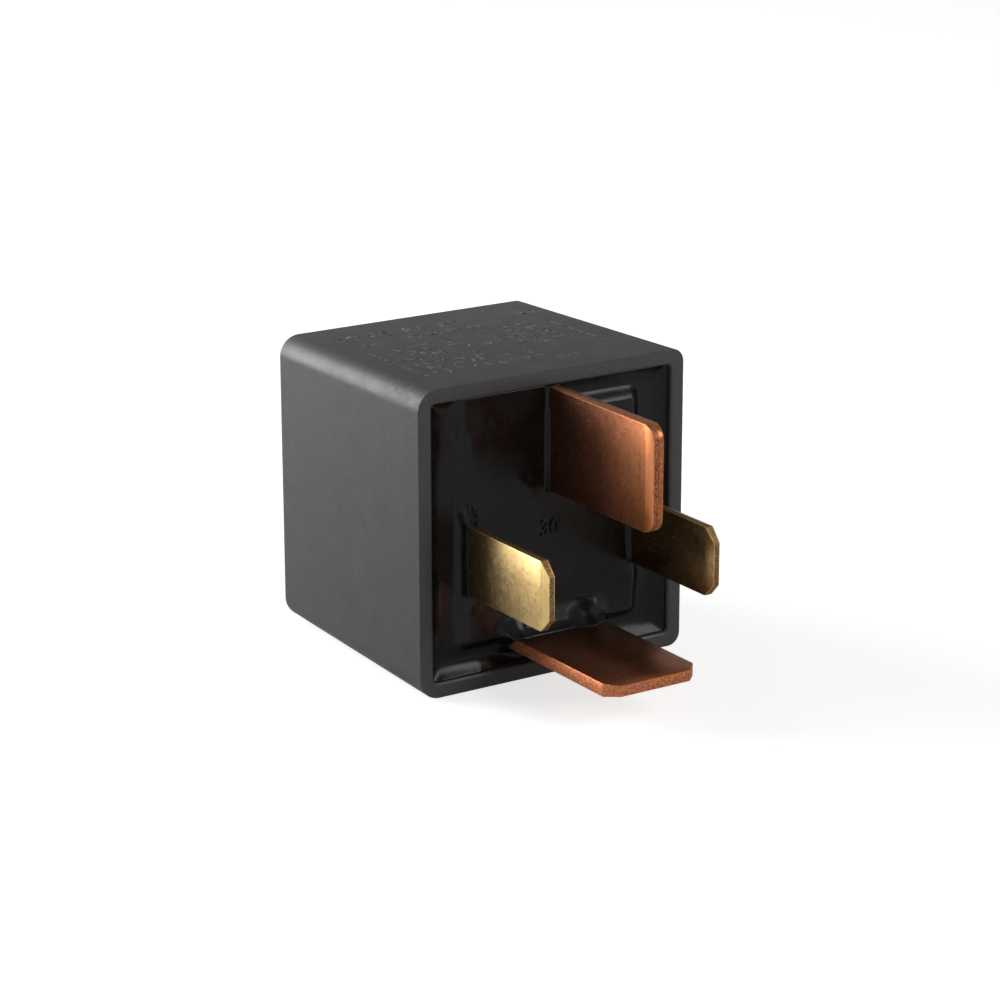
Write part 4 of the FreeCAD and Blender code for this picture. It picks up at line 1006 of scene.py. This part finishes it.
class RELAY_OT_coil_blades(bpy.types.Operator):
    """Models the two brass coil terminals"""

    bl_idname = "relay.coil_blades"
    bl_label = "Coil terminals"

    def execute(self, context):
        self.blade("terminal_86", 0.0, 37.0, 0.38, nose_of("terminal_86", COIL_NOSE))
        # Terminal 85 lies in shade: its brass is a darker, more coppery copy, as painted shade
        self.blade("terminal_85", 0.4, 71.0, 0.3, None)
        return {"FINISHED"}

    def blade(self, node, painted_shade, seed, rough, nose):
        """One coil terminal; painted shade makes one darker and a little more coppery."""
        clean, dull, copper = colours().brass, colours().brass_dull, colours().copper
        tone = colour_mix(clean, dull, painted_shade)
        torn = colour_mix(clean, copper, 0.45)
        face_tone = colour_mix(tone, copper, painted_shade * 0.6)
        finishes = (
            rolled_finish("rolled_" + node, face_tone, dull, (0.92, 0.86, 0.76), seed, rough, nose),
            sheared_finish("sheared_" + node, torn, dull, 0.15, 0.75, 0.35, 0.6),
            rubbed_sheen_finish("rubbed_sheen_" + node, tone))
        dress_blade(node, "x", COIL_THICKNESS, finishes)


class RELAY_OT_mechanism(bpy.types.Operator):
    """Finishes the electromagnet, the contacts and the resistor inside"""

    bl_idname = "relay.mechanism"
    bl_label = "Mechanism"

    def execute(self, context):
        iron = ("yoke", "core", "armature", "yoke_rivets", "armature_rivets")
        wires = ("coil_winding", "coil_lead_start", "coil_lead_end")
        self.dress(plain_metal_finish("magnet_iron", colours().steel, 0.34), iron)
        self.dress(plain_metal_finish("brass_strip", colours().brass, 0.34), ("stop_bracket",))
        self.dress(plain_metal_finish("contact_silver", SILVER, 0.3), ("fixed_contact", "moving_contact"))
        self.dress(plain_metal_finish("spring_bronze", BRONZE, 0.32), ("contact_spring",))
        self.dress(plain_metal_finish("tinned_wire", TIN, 0.3), ("resistor_leads",))
        self.dress(wire_finish(), wires)
        self.dress(moulding_finish("bobbin_plastic", SPOOL, 0.42), ("bobbin",))
        self.dress(resistor_finish(), ("resistor",))
        return {"FINISHED"}

    def dress(self, finish, nodes):
        """Puts a finish on the CAD nodes themselves."""
        for node in nodes:
            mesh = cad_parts[node].data
            mesh.materials.clear()
            mesh.materials.append(finish)


class RELAY_OT_stage(bpy.types.Operator):
    """Sets the floor, the studio light and the camera"""

    bl_idname = "relay.stage"
    bl_label = "Stage"

    def execute(self, context):
        self.floor()
        self.lights()
        self.world()
        self.camera()
        context.scene.view_settings.view_transform = "Standard"
        return {"FINISHED"}

    def floor(self):
        """Pale floor that keeps the relay's shadow."""
        clear_selection()
        bpy.ops.mesh.primitive_plane_add(size=FLOOR_SIZE, location=(0.0, 0.0, CAD_LOW.z))
        floor = bpy.context.object
        floor.name = "floor"
        finish, tree, shader = new_finish("floor_paper")
        place = object_place(tree)
        seen = tree.nodes.new("ShaderNodeLightPath").outputs
        rays = maths(tree, "MAXIMUM", seen["Is Glossy Ray"], seen["Is Transmission Ray"])
        rays = maths(tree, "MAXIMUM", seen["Is Camera Ray"], part_of(tree, rays, FLOOR_MIRRORED))
        set_inputs(tree, shader, {
            "Base Color": cloudy(tree, place, 40.0, 0.82, 0.84, detail=3.0), "Roughness": 0.9,
            "Specular IOR Level": 0.0, "Emission Color": colour4(WHITE),
            "Emission Strength": part_of(tree, rays, FLOOR_GLOW)})
        floor.data.materials.append(finish)

    def lights(self):
        """Large soft box behind on the left and a small one in front on the right."""
        target = Vector(LIT_PLACE) * MM
        for name, (way, reach, width, energy) in SOFT_BOXES.items():
            clear_selection()
            way = Vector(way).normalized()
            bpy.ops.object.light_add(type="AREA", location=target + way * reach)
            lamp = bpy.context.object
            lamp.name = name
            lamp.rotation_euler = way.to_track_quat("Z", "Y").to_euler()
            lamp.data.shape = "SQUARE"
            lamp.data.size = width
            lamp.data.energy = energy

    def world(self):
        """White backdrop behind the relay, a greyer room in front of it and level light from all round."""
        world = bpy.data.worlds.new("studio")
        bpy.context.scene.world = world
        world.use_nodes = True
        tree = world.node_tree
        tree.nodes.clear()
        output = tree.nodes.new("ShaderNodeOutputWorld")
        parts = split(tree, tree.nodes.new("ShaderNodeTexCoord").outputs["Generated"])
        slant = maths(tree, "ADD", part_of(tree, parts["Y"], ROOM_SLANT[1]),
                      part_of(tree, parts["X"], ROOM_SLANT[0]))
        light = self.background(tree, ramp(tree, parts["Z"], *SKY))
        room = self.background(tree, ramp(tree, maths(tree, "ADD", slant, 0.5), *ROOM))
        paper = self.background(tree, colour4(WHITE))
        seen = tree.nodes.new("ShaderNodeLightPath").outputs
        mirrored = maths(tree, "MAXIMUM", seen["Is Glossy Ray"], seen["Is Transmission Ray"])
        nearer = self.either(tree, mirrored, light, room)
        whole = self.either(tree, seen["Is Camera Ray"], nearer, paper)
        tree.links.new(whole, output.inputs["Surface"])

    def background(self, tree, colour):
        made = tree.nodes.new("ShaderNodeBackground")
        set_inputs(tree, made, {"Color": colour, "Strength": 1.0})
        return made.outputs[0]

    def either(self, tree, share, one, other):
        made = tree.nodes.new("ShaderNodeMixShader")
        for socket, value in zip(made.inputs, (share, one, other)):
            tree.links.new(value, socket)
        return made.outputs[0]

    def camera(self):
        """Long lens at the photograph's place, turned a little about its own axis."""
        azimuth, elevation, roll = (math.radians(angle) for angle in CAMERA_ANGLES)
        back = Vector((math.sin(azimuth) * math.cos(elevation), -math.cos(azimuth) * math.cos(elevation),
                       math.sin(elevation)))
        right = Vector((math.cos(azimuth), math.sin(azimuth), 0.0))
        above = back.cross(right)
        eye = Vector((0.0, RIM + CAMERA_AIM * MM, MIDDLE))
        eye += back * CAMERA_BACK * MM + right * CAMERA_RIGHT * MM - above * CAMERA_DOWN * MM
        across = right * math.cos(roll) + above * math.sin(roll)
        up = above * math.cos(roll) - right * math.sin(roll)
        clear_selection()
        bpy.ops.object.camera_add(location=eye)
        camera = bpy.context.object
        camera.name = "camera"
        camera.rotation_euler = Matrix((across, up, back)).transposed().to_euler()
        camera.data.sensor_width = CAMERA_SENSOR
        camera.data.lens = CAMERA_LENS
        camera.data.clip_start = 0.01
        camera.data.clip_end = 10.0
        bpy.context.scene.camera = camera


OPERATORS = (RELAY_OT_cover, RELAY_OT_marking, RELAY_OT_base, RELAY_OT_load_blades, RELAY_OT_coil_blades,
             RELAY_OT_mechanism, RELAY_OT_stage)


class RELAY_PT_panel(bpy.types.Panel):
    """Buttons that build the relay piece by piece"""

    bl_idname = "RELAY_PT_panel"
    bl_label = "Automotive relay"
    bl_space_type = "VIEW_3D"
    bl_region_type = "UI"
    bl_category = "Relay"

    def draw(self, context):
        for operator in OPERATORS:
            self.layout.operator(operator.bl_idname)
        for group in (context.scene.relay_sizes, context.scene.relay_colours):
            box = self.layout.box()
            for name in group.bl_rna.properties.keys():
                if name not in ("rna_type", "name"):
                    box.prop(group, name)


CLASSES = (RelaySizes, RelayColours) + OPERATORS + (RELAY_PT_panel,)


def register():
    for made in CLASSES:
        bpy.utils.register_class(made)
    bpy.types.Scene.relay_sizes = bpy.props.PointerProperty(type=RelaySizes)
    bpy.types.Scene.relay_colours = bpy.props.PointerProperty(type=RelayColours)


def unregister():
    del bpy.types.Scene.relay_colours
    del bpy.types.Scene.relay_sizes
    for made in reversed(CLASSES):
        bpy.utils.unregister_class(made)


def main():
    """Builds the pieces in order."""
    register()
    for operator in OPERATORS:
        group, name = operator.bl_idname.split(".")
        getattr(getattr(bpy.ops, group), name)()


if __name__ == "__main__":
    main()
